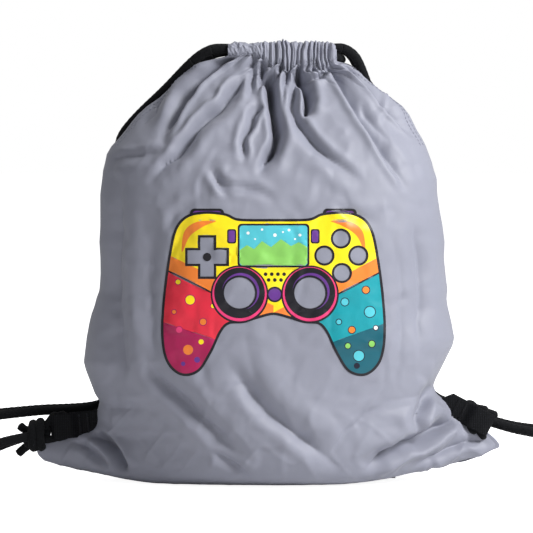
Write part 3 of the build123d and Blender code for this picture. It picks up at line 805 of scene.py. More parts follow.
# Centre lines by hand and hem: the run in the hem and just out of it, then the rest down to
# the tab.
STRANDS = {
    ("left", "front"): (
        [(20.0, -CORD_Y, 310.6), (4.0, -CORD_Y, 310.9), (-5.0, -CORD_Y, 312.6),
         (-13.0, -CORD_Y, 315.6), (-24.0, -CORD_Y, LEFT_Z - 0.3), (-33.0, -CORD_Y, LEFT_Z + 0.4),
         (-43.0, -CORD_Y + 0.8, LEFT_Z)],
        [(-50.8, -7.4, 314.6), (-59.0, -3.6, 308.0), (-67.2, 1.6, 299.8), (-75.6, 7.0, 291.0),
         (-85.0, 12.6, 282.2), (-95.0, 18.0, 273.0), (-103.0, 22.5, 264.6), (-112.5, 30.0, 252.0),
         (-113.0, 45.0, 236.0), (-107.0, 57.0, 214.0), (-101.0, 64.5, 180.0), (-99.5, 66.5, 140.0),
         (-101.0, 64.0, 104.0), (-106.0, 55.0, 80.0), (-114.0, 42.0, 66.0), (-124.0, 28.5, 55.5),
         (-136.0, 19.5, 52.0), (-150.0, 15.6, 51.0), (-168.0, 14.2, 50.6), (-190.0, 12.4, 48.6),
         (-212.0, 10.2, 46.0), (-232.0, 6.0, 41.0), (-247.0, 0.0, 32.0), (-251.5, -4.2, 22.5),
         (-246.0, -6.6, 14.0), (-234.0, -7.6, 12.0), (-220.0, -7.4, 18.5), (-208.0, -6.6, 25.5),
         (-197.0, -5.8, 29.5), (-187.0, -4.8, 31.5), (-178.0, -3.6, 33.0)]),
    ("left", "back"): (
        [(20.0, CORD_Y, 310.6), (4.0, CORD_Y, 310.9), (-5.0, CORD_Y, 312.6),
         (-13.0, CORD_Y, 315.6), (-24.0, CORD_Y, LEFT_Z - 0.4), (-33.0, CORD_Y, LEFT_Z - 1.4),
         (-43.0, CORD_Y + 0.1, LEFT_Z - 3.6)],
        [(-50.0, 11.4, 309.4), (-56.0, 13.4, 302.6), (-63.6, 17.6, 293.4), (-74.0, 23.6, 281.6),
         (-87.0, 31.0, 268.0), (-103.0, 41.0, 253.0), (-104.0, 54.5, 236.0), (-98.5, 65.5, 213.0),
         (-92.5, 70.5, 180.0), (-91.0, 72.0, 140.0), (-92.5, 70.5, 104.0), (-97.0, 64.0, 80.0),
         (-105.0, 53.0, 67.5), (-117.0, 39.0, 57.5), (-131.0, 29.0, 52.8), (-148.0, 24.4, 51.6),
         (-168.0, 22.4, 51.2), (-190.0, 20.4, 49.4), (-213.0, 18.0, 47.0), (-235.0, 13.6, 42.0),
         (-252.0, 7.6, 32.0), (-257.0, 3.4, 21.5), (-251.5, 1.4, 11.5), (-237.0, 0.6, 8.6),
         (-221.0, 0.8, 15.5), (-208.0, 1.6, 22.5), (-197.0, 2.6, 27.0), (-187.0, 3.8, 30.5),
         (-178.0, 4.4, 33.0)]),
    ("right", "front"): (
        [(38.5, -CORD_Y, RIGHT_Z), (41.0, -CORD_Y, RIGHT_Z), (44.0, -CORD_Y, RIGHT_Z),
         (52.5, -CORD_Y + 0.3, RIGHT_Z + 0.5)],
        [(59.0, -8.4, 316.0), (63.2, -7.2, 311.0), (66.0, -5.6, 305.4), (68.0, -2.6, 299.2),
         (71.0, 2.4, 291.4), (76.5, 9.0, 282.4), (85.0, 16.6, 272.5), (96.0, 27.0, 261.0),
         (102.0, 42.0, 246.0), (103.0, 54.0, 228.0), (99.0, 63.0, 200.0), (97.0, 67.0, 165.0),
         (97.5, 67.5, 130.0), (100.0, 62.5, 102.0), (106.0, 51.5, 82.0), (115.0, 38.5, 66.0),
         (127.0, 30.5, 56.5), (143.0, 27.5, 50.5), (163.0, 25.0, 42.8), (186.0, 20.6, 37.2),
         (206.0, 15.6, 35.6), (226.0, 9.5, 33.0), (240.5, 5.0, 25.0), (244.5, 1.6, 16.0),
         (238.0, -1.0, 10.5), (226.0, -1.6, 16.5), (213.0, -0.6, 28.0), (200.0, 2.0, 35.0),
         (187.0, 5.0, 36.6), (174.0, 8.0, 39.4), (163.0, 10.4, 42.4), (154.0, 11.6, 46.0)]),
    ("right", "back"): (
        [(38.5, CORD_Y, RIGHT_Z), (41.0, CORD_Y, RIGHT_Z), (44.0, CORD_Y, RIGHT_Z),
         (52.0, CORD_Y + 0.2, RIGHT_Z)],
        [(58.2, 10.6, 315.4), (62.8, 12.6, 308.0), (67.5, 16.0, 298.5), (76.0, 22.5, 286.0),
         (83.5, 32.0, 272.0), (91.5, 46.0, 254.0), (94.5, 58.0, 238.0), (94.5, 66.5, 220.0),
         (90.5, 71.5, 195.0), (88.5, 73.0, 165.0), (89.0, 73.0, 130.0), (91.5, 70.0, 102.0),
         (97.0, 61.5, 83.0), (107.0, 50.0, 69.0), (121.0, 41.5, 59.0), (139.0, 37.0, 52.0),
         (160.0, 34.4, 42.8), (184.0, 29.2, 37.0), (206.0, 23.8, 35.2), (228.0, 17.6, 33.6),
         (244.5, 12.6, 25.0), (249.0, 9.8, 15.0), (241.5, 7.4, 8.8), (228.0, 6.6, 14.0),
         (214.0, 7.6, 26.0), (200.0, 9.8, 33.6), (187.0, 12.4, 35.4), (174.0, 14.6, 38.6),
         (164.0, 16.0, 41.8), (155.0, 16.0, 44.5)]),
}


def push_out(path):
    """Lifts a path off the cloth so the cord lies on it."""
    path = path.copy()
    for _ in range(3):
        for i in range(len(path)):
            if path[i, 2] > 262:
                continue
            for side in (1, -1):
                here = Vector(path[i])
                hit, normal, _, distance = cloth_tree[side].find_nearest(here)
                if distance > 14:
                    continue
                if normal.y * side < 0:
                    normal = -normal
                height = (here - hit).dot(normal)
                # high up the cord sinks into the soft cloth
                gap = CORD_R * 0.72 if path[i, 2] > 235 else CORD_R + 0.3
                if height < gap and (side > 0) == (path[i, 1] > 0):
                    path[i] = path[i] + np.array(normal) * (gap - height) * 0.7
        path = relax(path, 14)
    return path


def strand_path(run, rest):
    """Centre line of a strand, and the index at which its run ends."""
    path, _ = resample(np.array(run + rest), PATH_STEP)
    run_end = int(np.argmin(np.linalg.norm(path - np.array(run[-1]), axis=1)))
    path[run_end:] = relax(path[run_end:], 20)
    path[run_end + 12:] = push_out(path[run_end + 12:])
    path = relax(path, 6)
    path[:, 2] = np.maximum(path[:, 2], CORD_R + 0.15)
    return path, run_end


def build_strand(hand, word, run, rest):
    path, run_end = strand_path(run, rest)
    arc = arc_length(path)
    rings = open_rings(path, arc, CORD_R, flat=0.03)

    def index_at(length):
        return int(np.clip(np.searchsorted(arc, length), 1, len(arc) - 2))

    lip_end = index_at(arc[run_end] + LIP_LENGTH)
    bag_start = index_at(arc[run_end] + BAG_LENGTH)
    tail_start = index_at(arc[-1] - TAIL_LENGTH)
    last = len(path) - 1
    name = f"{hand}_cord_{word}"
    run_body, lip = f"{hand}_{word}_run", f"{word}_lip"

    piece = cord_piece(name + "_run_braid", path, rings, 0, run_end)
    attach(piece, run_body)
    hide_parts(name + "_run")
    piece = cord_piece(name + "_exit_braid", path, rings, run_end, lip_end)
    to_metres(path[run_end])
    to_metres(path[lip_end])
    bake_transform(piece)
    piece = cord_piece(name + "_shoulder_bend", path, rings, lip_end, bag_start)
    to_metres(path[lip_end])
    to_metres(path[bag_start])
    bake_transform(piece)
    piece = cord_piece(name + "_strap", path, rings, bag_start, tail_start)
    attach(piece, "bag")
    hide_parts(f"{hand}_shoulder_cord_{word}")
    piece = cord_piece(name + "_tail", path, rings, tail_start, last, tip=CORD_R * 0.35)
    to_metres(path[tail_start])
    to_metres(path[last])
    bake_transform(piece)


for (hand, word), (run, rest) in STRANDS.items():
    build_strand(hand, word, run, rest)


def far_turn(hand, start_x, out, z, drop, narrow=1.0):
    """Turn of a cord from the front hem round the slit to the back hem."""
    # share of out, y, share of drop
    bend = [(0, CORD_Y, 0), (0.45, CORD_Y - 0.4, 0.1), (0.85, CORD_Y * 0.62, 0.55)]
    bend = ([(o, -y, d) for o, y, d in bend] + [(1, 0, 1)] + bend[::-1])
    path, arc = resample([(start_x + o * out, y * narrow, z - d * drop) for o, y, d in bend], 1.0)
    rings = open_rings(path, arc, CORD_R)
    mid, last = len(path) // 2, len(path) - 1
    front = cord_piece(f"{hand}_cord_turn_front_half", path, rings, 0, mid)
    back = cord_piece(f"{hand}_cord_turn_back_half", path, rings, mid, last)
    to_metres(path[0])
    to_metres(path[mid])
    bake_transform(front)
    to_metres(path[mid])
    to_metres(path[last])
    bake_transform(back)
    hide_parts(f"{hand}_cord_far_turn")


far_turn("left", start_x=HEM_X1 - 6.0, out=9.5, z=313.5, drop=3.0)
far_turn("right", start_x=HEM_X0 + 12.0, out=-9.0, z=307.0, drop=1.0, narrow=0.66)

# ---------------------------------------------------------------- tabs and knots
# A tab is built along +x with its width along z, and then placed.
WEB_THICKNESS = 1.25
EYE_R = 4.3             # inner radius of the eye's round end
EYE_LENGTH = 9.0        # straight part of the eye


def tab_grids(width, length, shear):
    """Both faces of webbing folded round an eye: two layers from the seam to the eye."""
    eye_end = length - EYE_R
    eye_start = eye_end - EYE_LENGTH
    layer_y = 0.78
    eye_y = EYE_R + 0.6
    leg = [(x, layer_y) for x in np.linspace(-7.0, eye_start - 7.5, 9)]
    leg += [(eye_start - 7.5 + 7.5 * k,
             layer_y + (eye_y - layer_y) * (0.5 - 0.5 * math.cos(math.pi * k)))
            for k in np.linspace(0, 1, 9)[1:]]
    leg += [(x, eye_y) for x in np.linspace(eye_start, eye_end, 5)[1:]]
    turn = [(eye_end + eye_y * math.sin(a), -eye_y * math.cos(a))
            for a in np.linspace(0, math.pi, 15)[1:-1]]
    plan = np.array([(x, -y) for x, y in leg] + turn + leg[::-1])
    tangents = unit_rows(np.gradient(plan, axis=0))
    x, y = plan[:, :1], plan[:, 1:]
    z = np.linspace(-width / 2, width / 2, 27)
    ribs = 0.16 * np.cos(np.linspace(0, 13 * 2 * math.pi, 27))
    ribs = np.where(np.abs(z) < width / 2 - 0.4, ribs, 0)
    height = WEB_THICKNESS / 2 * (1 - 0.35 * (np.abs(z) / (width / 2)) ** 6) + ribs
    skew = shear * z * (1 - ease(2.0, 17.0, x))
    return [np.stack([x + tangents[:, 1:] * s * height + skew,
                      y - tangents[:, :1] * s * height,
                      np.broadcast_to(z, skew.shape)], -1) for s in (1, -1)]


def placer(origin, direction, curl_y, twist):
    """Function that places tab points, with a slight curl and a slow twist of the webbing."""
    x_axis = unit_rows(np.array(direction, float))
    z_axis = unit_rows(np.cross(x_axis, (0.0, 1.0, 0.0)))
    if z_axis[2] < 0:
        z_axis = -z_axis
    y_axis = np.cross(z_axis, x_axis)

    def place(points):
        points = np.asarray(points, float)
        x, z = points[..., 0], points[..., 2]
        y = points[..., 1] + curl_y * (x / 38.0) ** 2
        angle = twist * np.clip(x / 38.0, 0, 1.4)
        turned_y = y * np.cos(angle) - z * np.sin(angle)
        turned_z = y * np.sin(angle) + z * np.cos(angle)
        return (np.array(origin) + x[..., None] * x_axis + turned_y[..., None] * y_axis
                + turned_z[..., None] * z_axis)
    return place


def bartacks(width):
    """Close zigzags of thread across the webbing, two on each face."""
    radius = 0.26
    a = np.linspace(0, 2 * math.pi, 6, endpoint=False)
    section = radius * np.stack([0.6 * np.cos(a), np.sin(a), np.cos(a)], -1)
    z = np.linspace(-width / 2 + 1.6, width / 2 - 1.6, 40)
    zigzag = 0.9 * np.where(np.arange(40) % 2 == 0, 1, -1)
    return [rod(np.stack([x + zigzag, np.full(40, face * 1.72), z], -1)[:, None] + section)
            for face in (-1, 1) for x in (6.5, 12.5)]


def knot_tube(points, radius):
    """Capped braided tube through points."""
    path, arc = resample(points, 1.0)
    rings = open_rings(path, arc, radius, KNOT_SEGS)
    return fan_capped(rings, 2 * path[0] - path[1], 2 * path[-1] - path[-2])


def tied_lump(centre, size):
    """Endless trefoil of cord as the body of a tied knot."""
    t = np.linspace(0, 2 * math.pi, 150)[:-1]
    path = np.stack([
        (np.sin(t) + 1.55 * np.sin(2 * t)) * size[0] / 2.55,
        -np.sin(3 * t) * size[2],
        (np.cos(t) - 1.55 * np.cos(2 * t)) * size[1] / 2.55], -1) + centre
    tangents = unit_rows(np.roll(path, -1, 0) - np.roll(path, 1, 0))
    carried = carried_normals(tangents)
    # twist that makes the last ring meet the first
    end = unit_rows(carried[-1] - tangents[0] * np.dot(carried[-1], tangents[0]))
    miss = math.atan2(np.dot(np.cross(end, carried[0]), tangents[0]), np.dot(end, carried[0]))
    arc = arc_length(path)
    rings = braid_rings(path, tangents, carried, arc, CORD_R, relief=0.18, segs=KNOT_SEGS,
                        twist=(miss * arc / (arc[-1] + 1e-9))[:, None])
    count = len(path) * KNOT_SEGS
    faces = grid_faces(len(path) + 1, KNOT_SEGS, wrap=True) % count
    return rings.reshape(-1, 3), faces


def coil_path(centre, length, radius_y, radius_z, turns, phase):
    """Wraps of a barrel knot round its own strands."""
    t = np.linspace(0, 1, 170)
    a = phase + 2 * math.pi * turns * t
    swell = 0.35 + 0.65 * ease(0.0, 0.10, t) * ease(0.0, 0.10, 1 - t)
    swell = swell * (1 + 0.07 * np.sin(1.7 * a + 0.6))
    y = radius_y * swell * np.cos(a)
    z = radius_z * swell * np.sin(a)
    return np.stack([(t - 0.5) * length - 0.20 * z + 0.10 * y, y, z], -1) + centre


def link_path(x, sign, half, width, centre, coiled):
    """Strand from the knot up, down through the eye at x and back; half is its half height."""
    if coiled:
        lead = [centre + (1.0, sign * 2.4, half * 0.30), centre + (-6.0, sign * 2.0, half * 0.62),
                (x + 2.6, 0.4 * sign, half - 0.2)]
        back = [(x + 2.6, 0.4 * sign, -half + 0.2), centre + (-6.0, sign * 2.0, -half * 0.50),
                centre + (1.0, sign * 2.4, -half * 0.26)]
        inset = 1.8
    else:
        lead = [centre + (-3.0, sign * 1.5, half * 0.55), (x + 4.0, 0.5 * sign, half + 0.6)]
        back = [(x + 4.0, 0.5 * sign, -half - 0.6), centre + (-3.0, sign * 1.5, -half * 0.55)]
        inset = 1.2
    heights = (half - inset, width / 4, 0, -width / 4, inset - half)
    return np.array(lead + [(x, 0, z) for z in heights] + back)


def tab_and_knot(hand, place, width, length, knot_at, ends, over, link_radius,
                 size=None, coil=None, shear=0.0):
    """Webbing tab, its bartacks and the knot: a barrel if coil is given, else a tied lump."""
    outer, inner = (place(grid) for grid in tab_grids(width, length, shear))
    tab = two_layer_mesh(f"{hand}_tab_webbing", outer, inner, WEB)
    movement = ("bag", f"{hand}_tab", to_metres(place((-1.0, 0.0, 0.0))),
                to_metres(place((12.0, 0.0, 0.0))))
    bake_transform(tab)
    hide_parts(f"{hand}_webbing_tab")

    verts, faces = join(bartacks(width))
    tack = new_mesh(f"{hand}_bartack_thread", place(verts), faces, [TACK])
    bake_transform(tack)
    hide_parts(f"{hand}_tab_bartack")

    centre = np.array(knot_at)
    eye_end = length - EYE_R
    eye_start = eye_end - EYE_LENGTH
    first_x = eye_start + (3.4 if coil else 0.4)
    parts = [knot_tube(link_path(x, sign, width / 2 + over, width, centre, bool(coil)),
                       link_radius)
             for x, sign in ((first_x, -1), (eye_end - 0.4, 1))]
    if coil:
        parts.append(knot_tube(coil_path(centre, **coil), CORD_R))
        core = [centre + (-9.0, 0, 0.6), centre, centre + (9.5, 0, -0.8)]
        parts.append(knot_tube(core, 3.6))
    else:
        parts.append(tied_lump(centre, size))
    parts += [knot_tube(centre + np.array(end, float), 3.2) for end in ends]
    verts, faces = join(parts)
    knot = new_mesh(f"{hand}_tied_knot", place(verts), faces, [CORD])
    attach(knot, f"{hand}_tab")
    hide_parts(f"{hand}_cord_knot")


tab_and_knot(
    "left",
    placer(origin=(-128.5, -0.6, 43.0), direction=(-1.0, 0.0, -0.10), curl_y=-1.5, twist=0.10),
    width=18.6, length=33.4, knot_at=(44.8, 0.0, -4.6), over=-1.0, link_radius=2.9,
    ends=[[(4, -3, 3), (9, -4.5, 5.0), (13.0, -5, 8.5)],
          [(4, -3, -5), (11, -5, -8.5), (16.0, -6, -12.0)]],
    coil=dict(length=14.5, radius_y=6.6, radius_z=8.6, turns=2.7, phase=0.9))
tab_and_knot(
    "right",
    placer(origin=(130.5, -1.0, 57.2), direction=(1.0, 0.0, -0.53), curl_y=-1.0, twist=-0.08),
    width=17.0, length=35.0, knot_at=(21.0, 11.8, 1.5), over=0.0, link_radius=2.7,
    ends=[[(2, 2, 2), (8, 3, 4), (13, 4, 4)], [(2, 2, -4), (6, 4, -7), (10, 6, -8)]],
    size=(7.4, 8.6, 4.6), shear=0.85)


# ---------------------------------------------------------------- stitching and seams
def stitches(name, path, normals, length, gap, radius):
    """Thread stitches along a path: short rounded bars with sunk ends."""
    s = arc_length(path)
    a = np.linspace(0, 2 * math.pi, 6, endpoint=False)[None, :, None]
    lift = 0.30 * np.sin(np.linspace(0.12, math.pi - 0.12, 6)) - 0.02
    radii = radius * np.array([0.55, 1, 1, 1, 1, 0.55])[:, None, None]
    parts = []
    start = 0.6
    while start + length < s[-1]:
        t = np.linspace(start, start + length, 6)
        up = unit_rows(along_columns(t, s, normals))
        centre = along_columns(t, s, path) + up * lift[:, None]
        sideways = np.cross(unit_rows(np.gradient(centre, axis=0)), up)
        spokes = np.cos(a) * up[:, None] + np.sin(a) * sideways[:, None]
        parts.append(rod(centre[:, None] + radii * spokes))
        start += length + gap
    return new_mesh(name, *join(parts), [THREAD])


for side, word in SIDE_WORD.items():
    points, normals = hem[side]
    k = int(np.argmin(np.abs(hem_angles - math.radians(-30.0))))
    normal = normals[k][2:-2]
    row = stitches(f"{word}_hem_stitch_row", points[k][2:-2] + normal * 0.08, normal,
                   length=1.9, gap=0.9, radius=0.20)
    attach(row, f"{word}_lip")
    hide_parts(f"{word}_channel_stitching")

# two rows beside each slit, at these shares of the cloth's width
SLIT_ROWS = {"left": (0.030, 0.052), "right": (0.970, 0.948)}
for side, word in SIDE_WORD.items():
    points, normals = cloth[side]
    rows, cols = points.shape[:2]
    span = slice(int(0.72 * (rows - 1)), int(0.94 * (rows - 1)))
    for hand, shares in SLIT_ROWS.items():
        for i, share in enumerate(shares):
            col = int(round(share * (cols - 1)))
            row = stitches(f"{word}_{hand}_slit_stitches_{i + 1}", points[span, col],
                           normals[span, col], length=2.2, gap=1.0, radius=0.17)
            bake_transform(row)


def allowance(name, node, seam, inward):
    """Rippled overlocked strip inside the bag, from a seam line of (x, z) points."""
    path, arc = resample([(x, 0.3, z) for x, z in seam], 1.6)
    depth = np.linspace(0, 9.0, 8)
    grid = path[:, None] + np.array(inward) * depth[None, :, None]
    ripple = np.sin(arc / 6.0 + 0.6 * np.sin(arc / 17.0))
    grid[..., 1] += 0.9 * (depth / 9) * ripple[:, None]
    strip = two_layer_mesh(name, grid, grid - grid_normals(grid) * 0.8, THREAD)
    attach(strip, "bag")
    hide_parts(node)


allowance("left_overlock", "left_side_seam_allowance",
          [(-123.0, 76.0), (-129.0, 96.0), (-126.0, 122.0), (-119.5, 150.0), (-119.0, 180.0),
           (-118.5, 208.0), (-114.0, 234.0), (-106.0, 252.0)], inward=(1, 0, 0))
allowance("right_overlock", "right_side_seam_allowance",
          [(115.0, 84.0), (121.5, 100.0), (124.5, 122.0), (121.5, 150.0), (121.0, 180.0),
           (118.0, 208.0), (112.0, 234.0), (103.0, 252.0)], inward=(-1, 0, 0))
allowance("bottom_overlock", "bottom_seam_allowance",
          [(-98.0, 1.9), (-40.0, 1.9), (0.0, 1.9), (40.0, 1.9), (92.0, 1.9)], inward=(0, 0, 1))

# ---------------------------------------------------------------- the print's artwork
# A game controller, drawn by seen place (x, z) and cast onto the front cloth from the eye.
PRINT_MID = 1.8375
INKS = {
    "black": (22, 20, 28), "yellow": (250, 224, 24), "orange": (244, 132, 48),
    "red": (226, 44, 66), "magenta": (172, 24, 84), "pink": (232, 60, 120),
    "teal": (10, 150, 162), "deep_teal": (10, 92, 108), "navy": (16, 20, 42),
    "sky": (82, 192, 206), "green": (136, 202, 96), "purple": (100, 52, 138),
    "white": (240, 240, 240),
}
INK_NAMES = list(INKS)

# Left half of the body's outline, from the top middle round to the bottom middle: x, z.
BODY_HALF = [
    (PRINT_MID, 191.4675), (-13.965, 191.4675), (-25.725, 192.2025), (-34.545, 195.8775),
    (-49.245, 196.98), (-61.74, 194.04), (-69.4575, 184.485), (-73.8675, 164.64),
    (-77.5425, 136.71), (-79.0125, 108.78), (-75.705, 89.67), (-66.15, 80.115),
    (-54.39, 82.32), (-45.57, 95.55), (-38.22, 110.985), (-31.605, 117.6),
    (-20.58, 118.7025), (-9.555, 122.01), (PRINT_MID, 124.5825)]
SHOULDER_SHINE = [(-63.945, 183.75), (-55.125, 191.1), (-40.425, 191.835), (-49.245, 188.16),
                  (-59.535, 180.81), (-65.415, 169.05)]
# Rimmed dots on the grips: x, z, radius, ink.
GRIP_DOTS = [
    (-59.535, 133.77, 3.381, "yellow"), (-49.98, 117.6, 2.352, "orange"),
    (-67.62, 111.72, 2.205, "pink"), (-61.005, 97.02, 3.675, "orange"),
    (-51.45, 102.9, 1.911, "yellow"), (-68.355, 147.0, 1.764, "yellow"),
    (-42.63, 129.36, 1.617, "yellow"), (-64.68, 86.73, 1.617, "purple"),
    (-71.295, 124.95, 1.47, "orange"), (-54.39, 89.67, 2.205, "purple"),
    (54.39, 132.3, 2.646, "sky"), (72.765, 124.95, 3.822, "sky"),
    (59.535, 111.72, 2.352, "orange"), (74.235, 101.43, 2.205, "green"),
    (64.68, 92.61, 3.822, "sky"), (49.98, 117.6, 1.764, "sky"),
    (69.825, 141.12, 2.499, "orange"), (56.595, 99.96, 1.911, "green"),
    (77.175, 113.19, 1.47, "white"), (63.21, 85.26, 1.617, "navy")]
SCREEN_GROUND = [
    (-23.079, 170.52), (-17.64, 174.195), (-12.495, 171.255), (-6.615, 177.135), (0, 172.725),
    (7.35, 178.605), (14.7, 173.46), (20.58, 176.4), (26.754, 172.725), (26.754, 160.965),
    (24.99, 159.201), (-21.315, 159.201), (-23.079, 160.965)]
# White dots on the screen: x, z, radius.
SCREEN_DOTS = [
    (-16.905, 183.015, 1.176), (-6.615, 185.5875, 0.882), (2.94, 181.545, 1.323),
    (13.23, 185.22, 0.9555), (21.315, 181.545, 1.1025), (-11.76, 178.605, 0.735),
    (8.82, 183.75, 0.735), (17.64, 178.605, 0.735)]


def mirrored(points):
    return [(2 * PRINT_MID - x, z) for x, z in points]


def disc(x, z, radius, count):
    return [(x + radius * math.cos(a), z - radius * math.sin(a))
            for a in np.linspace(0, 2 * math.pi, count, endpoint=False)]


def round_rect(mid_x, half_width, top, bottom, radius):
    right, left = mid_x + half_width - radius, mid_x - half_width + radius
    top, bottom = top - radius, bottom + radius
    corners = ((right, bottom, 0), (left, bottom, 90), (left, top, 180), (right, top, 270))
    return [(x + radius * math.cos(math.radians(a)), z - radius * math.sin(math.radians(a)))
            for x, z, start in corners for a in np.linspace(start, start + 90, 6)]


def plus(x, z, arm, half):
    """Cross with arms of length arm and half width half."""
    corners = [(-half, arm), (half, arm), (half, half), (arm, half), (arm, -half), (half, -half),
               (half, -arm), (-half, -arm), (-half, -half), (-arm, -half), (-arm, half),
               (-half, half)]
    return [(x + dx, z + dz) for dx, dz in corners]


def twice_area(points):
    """Twice the signed area, positive when anticlockwise."""
    return sum(points[i - 1][0] * points[i][1] - points[i][0] * points[i - 1][1]
               for i in range(len(points)))


def grown(points, distance):
    """Closed outline moved outwards."""
    p = np.array(points)
    edge = unit_rows(np.roll(p, -1, 0) - np.roll(p, 1, 0))
    outward = np.stack([edge[:, 1], -edge[:, 0]], -1) * (1 if twice_area(points) > 0 else -1)
    return [tuple(q) for q in p + outward * distance]


def clip(points, inside):
    """Part of a polygon where inside(x, z) is not negative."""
    out = []
    for i, a in enumerate(points):
        b = points[(i + 1) % len(points)]
        at_a, at_b = inside(*a), inside(*b)
        if at_a >= 0:
            out.append(a)
        if (at_a >= 0) != (at_b >= 0):
            t = at_a / (at_a - at_b)
            out.append((a[0] + t * (b[0] - a[0]), a[1] + t * (b[1] - a[1])))
    return out


def below(x0, z0, x1, z1):
    """Positive under a line drawn left to right, above one drawn right to left."""
    return lambda x, z: (z1 - z0) * (x - x0) - (x1 - x0) * (z - z0)


def band(points, x0, z0, x1, z1, half=0.588):
    """Strip of a polygon along a line."""
    length = math.hypot(x1 - x0, z1 - z0)
    dx, dz = (z1 - z0) / length * half, -(x1 - x0) / length * half
    upper = below(x0 - dx, z0 - dz, x1 - dx, z1 - dz)
    lower = below(x1 + dx, z1 + dz, x0 + dx, z0 + dz)
    return clip(clip(points, upper), lower)


def draw_body():
    """Body of the controller with its coloured fields."""
    body = closed_spline(BODY_HALF + mirrored(BODY_HALF[-2:0:-1]))
    left = clip(body, lambda x, z: PRINT_MID - x)
    right = clip(body, lambda x, z: x - PRINT_MID)
    left_line = (-88.935, 161.7, -15.435, 124.95)
    right_line = (18.375, 122.01, 94.815, 161.7)
    return [
        (grown(body, 1.911), "black"),
        (body, "yellow"),
        (clip(left, below(-88.935, 173.46, -6.615, 133.77)), "orange"),
        (clip(left, below(*left_line)), "red"),
        (clip(left, below(-88.935, 120.54, -22.785, 98.49)), "magenta"),
        (clip(right, below(11.025, 129.36, 94.815, 173.46)), "orange"),
        (clip(right, below(*right_line)), "teal"),
        (band(left, *left_line), "black"),
        (band(right, *right_line), "black"),
        (clip(right, below(25.725, 95.55, 94.815, 120.54)), "deep_teal"),
    ]


def draw_print():
    """Polygons with their inks; later ones lie on top and None leaves the cloth bare."""
    art = []
    for x in (-47.04, 50.715):      # shoulder buttons
        art.append((round_rect(x, 12.495, 201.0225, 191.1, 3.3075), "black"))
        art.append((round_rect(x, 10.6575, 199.332, 192.57, 2.352), "purple"))
    art += draw_body()
    for x, z, radius, ink in GRIP_DOTS:
        art.append((disc(x, z, radius + 0.6615, 20), "navy" if x > PRINT_MID else "magenta"))
        art.append((disc(x, z, radius, 20), ink))
    art.append((closed_spline(SHOULDER_SHINE), "orange"))
    art.append((closed_spline(mirrored(SHOULDER_SHINE)), "orange"))
    # screen
    art.append((round_rect(PRINT_MID, 26.46, 189.924, 157.6575, 2.94), "black"))
    art.append((round_rect(PRINT_MID, 24.99, 188.601, 159.1275, 2.205), "sky"))
    art.append((SCREEN_GROUND, "green"))
    art += [(disc(x, z, radius, 12), "white") for x, z, radius in SCREEN_DOTS]
    for x in (-28.959, 32.487):     # pills beside the screen
        art.append((round_rect(x, 3.381, 185.955, 175.2975, 1.764), "black"))
        art.append((round_rect(x, 2.352, 184.926, 176.3265, 1.323), "purple"))
    # cross pad
    art.append((plus(-47.04, 165.375, 16.17, 6.762), "black"))
    art.append((plus(-47.04, 165.375, 14.406, 4.998), None))
    art.append((disc(-47.04, 165.375, 3.087, 20), "black"))
    # round buttons
    for x, z in ((51.45, 178.9725), (39.3225, 166.4775), (64.3125, 166.4775), (52.185, 153.615)):
        art.append((disc(x, z, 7.497, 32), "black"))
        art.append((disc(x, z, 5.88, 32), None))
    for x in (-23.1525, 28.665):    # sticks
        art.append((disc(x, 137.886, 21.315, 56), "black"))
        art.append((disc(x, 138.033, 19.992, 56), "pink"))
        art.append((disc(x, 138.915, 18.669, 56), "black"))
        art.append((disc(x + 0.882, 139.944, 13.671, 56), "purple"))
        art.append((disc(x, 138.915, 12.936, 48), "black"))
        art.append((disc(x, 138.915, 11.466, 48), None))
    art.append((disc(2.7195, 137.8125, 5.88, 28), "black"))
    art.append((disc(2.7195, 137.8125, 4.557, 28), "purple"))
    # rows of small holes: first x, z, count
    for x, z, count in ((-4.0425, 152.733, 4), (-1.764, 148.47, 3)):
        art += [(disc(x + 4.557 * k, z, 1.3965, 14), "black") for k in range(count)]
    return art


# ---------------------------------------------------------------- the print's film
# Lattice of extra points that lets the film follow the cloth: upper left point, pitch, counts.
LATTICE_X, LATTICE_Z = -84.42945, 204.11685
LATTICE_PITCH = 1.1025
LATTICE_COLS, LATTICE_ROWS = 157, 118
MERGE = 6.6667e-5       # points closer than this, in pitches, become one
SHORTEST_EDGE = 0.0147
FILM_LIFT = 0.25


def triangulate(art):
    """Triangles of the art: seen places, corner lists and ink numbers.

    The work is done in lattice pitches, right and down, so that the lattice is exact.
    """
    verts, outlines = [], []
    for points, _ in art:
        points = [((p[0] - LATTICE_X) / LATTICE_PITCH, (LATTICE_Z - p[1]) / LATTICE_PITCH)
                  for i, p in enumerate(points)
                  if math.dist(p, points[i - 1]) > SHORTEST_EDGE]
        if twice_area(points) < 0:
            points = points[::-1]
        outlines.append(list(range(len(verts), len(verts) + len(points))))
        verts += [Vector(p) for p in points]
    verts += [Vector((i, j)) for i in range(LATTICE_COLS) for j in range(LATTICE_ROWS)]
    places, _, triangles, _, _, sources = delaunay_2d_cdt(verts, [], outlines, 0, MERGE)
    corners, inks = [], []
    for triangle, source in zip(triangles, sources):
        ink = art[max(source)][1] if source else None
        if ink is not None:
            corners.append(list(triangle))
            inks.append(INK_NAMES.index(ink))
    used = sorted({i for triangle in corners for i in triangle})
    number = {old: new for new, old in enumerate(used)}
    seen = [(LATTICE_X + places[i][0] * LATTICE_PITCH, LATTICE_Z - places[i][1] * LATTICE_PITCH)
            for i in used]
    return seen, [[number[i] for i in triangle] for triangle in corners], inks


def cast(x, z):
    """Point of the film, just off the front cloth, that is seen at x, z."""
    ray = view_ray(x, z)
    hit, normal, _, _ = cloth_tree[-1].ray_cast(Vector(EYE), Vector(ray).normalized())
    if hit is None:
        return EYE + ray
    if normal.y > 0:
        normal = -normal
    return np.array(hit) + np.array(normal) * FILM_LIFT


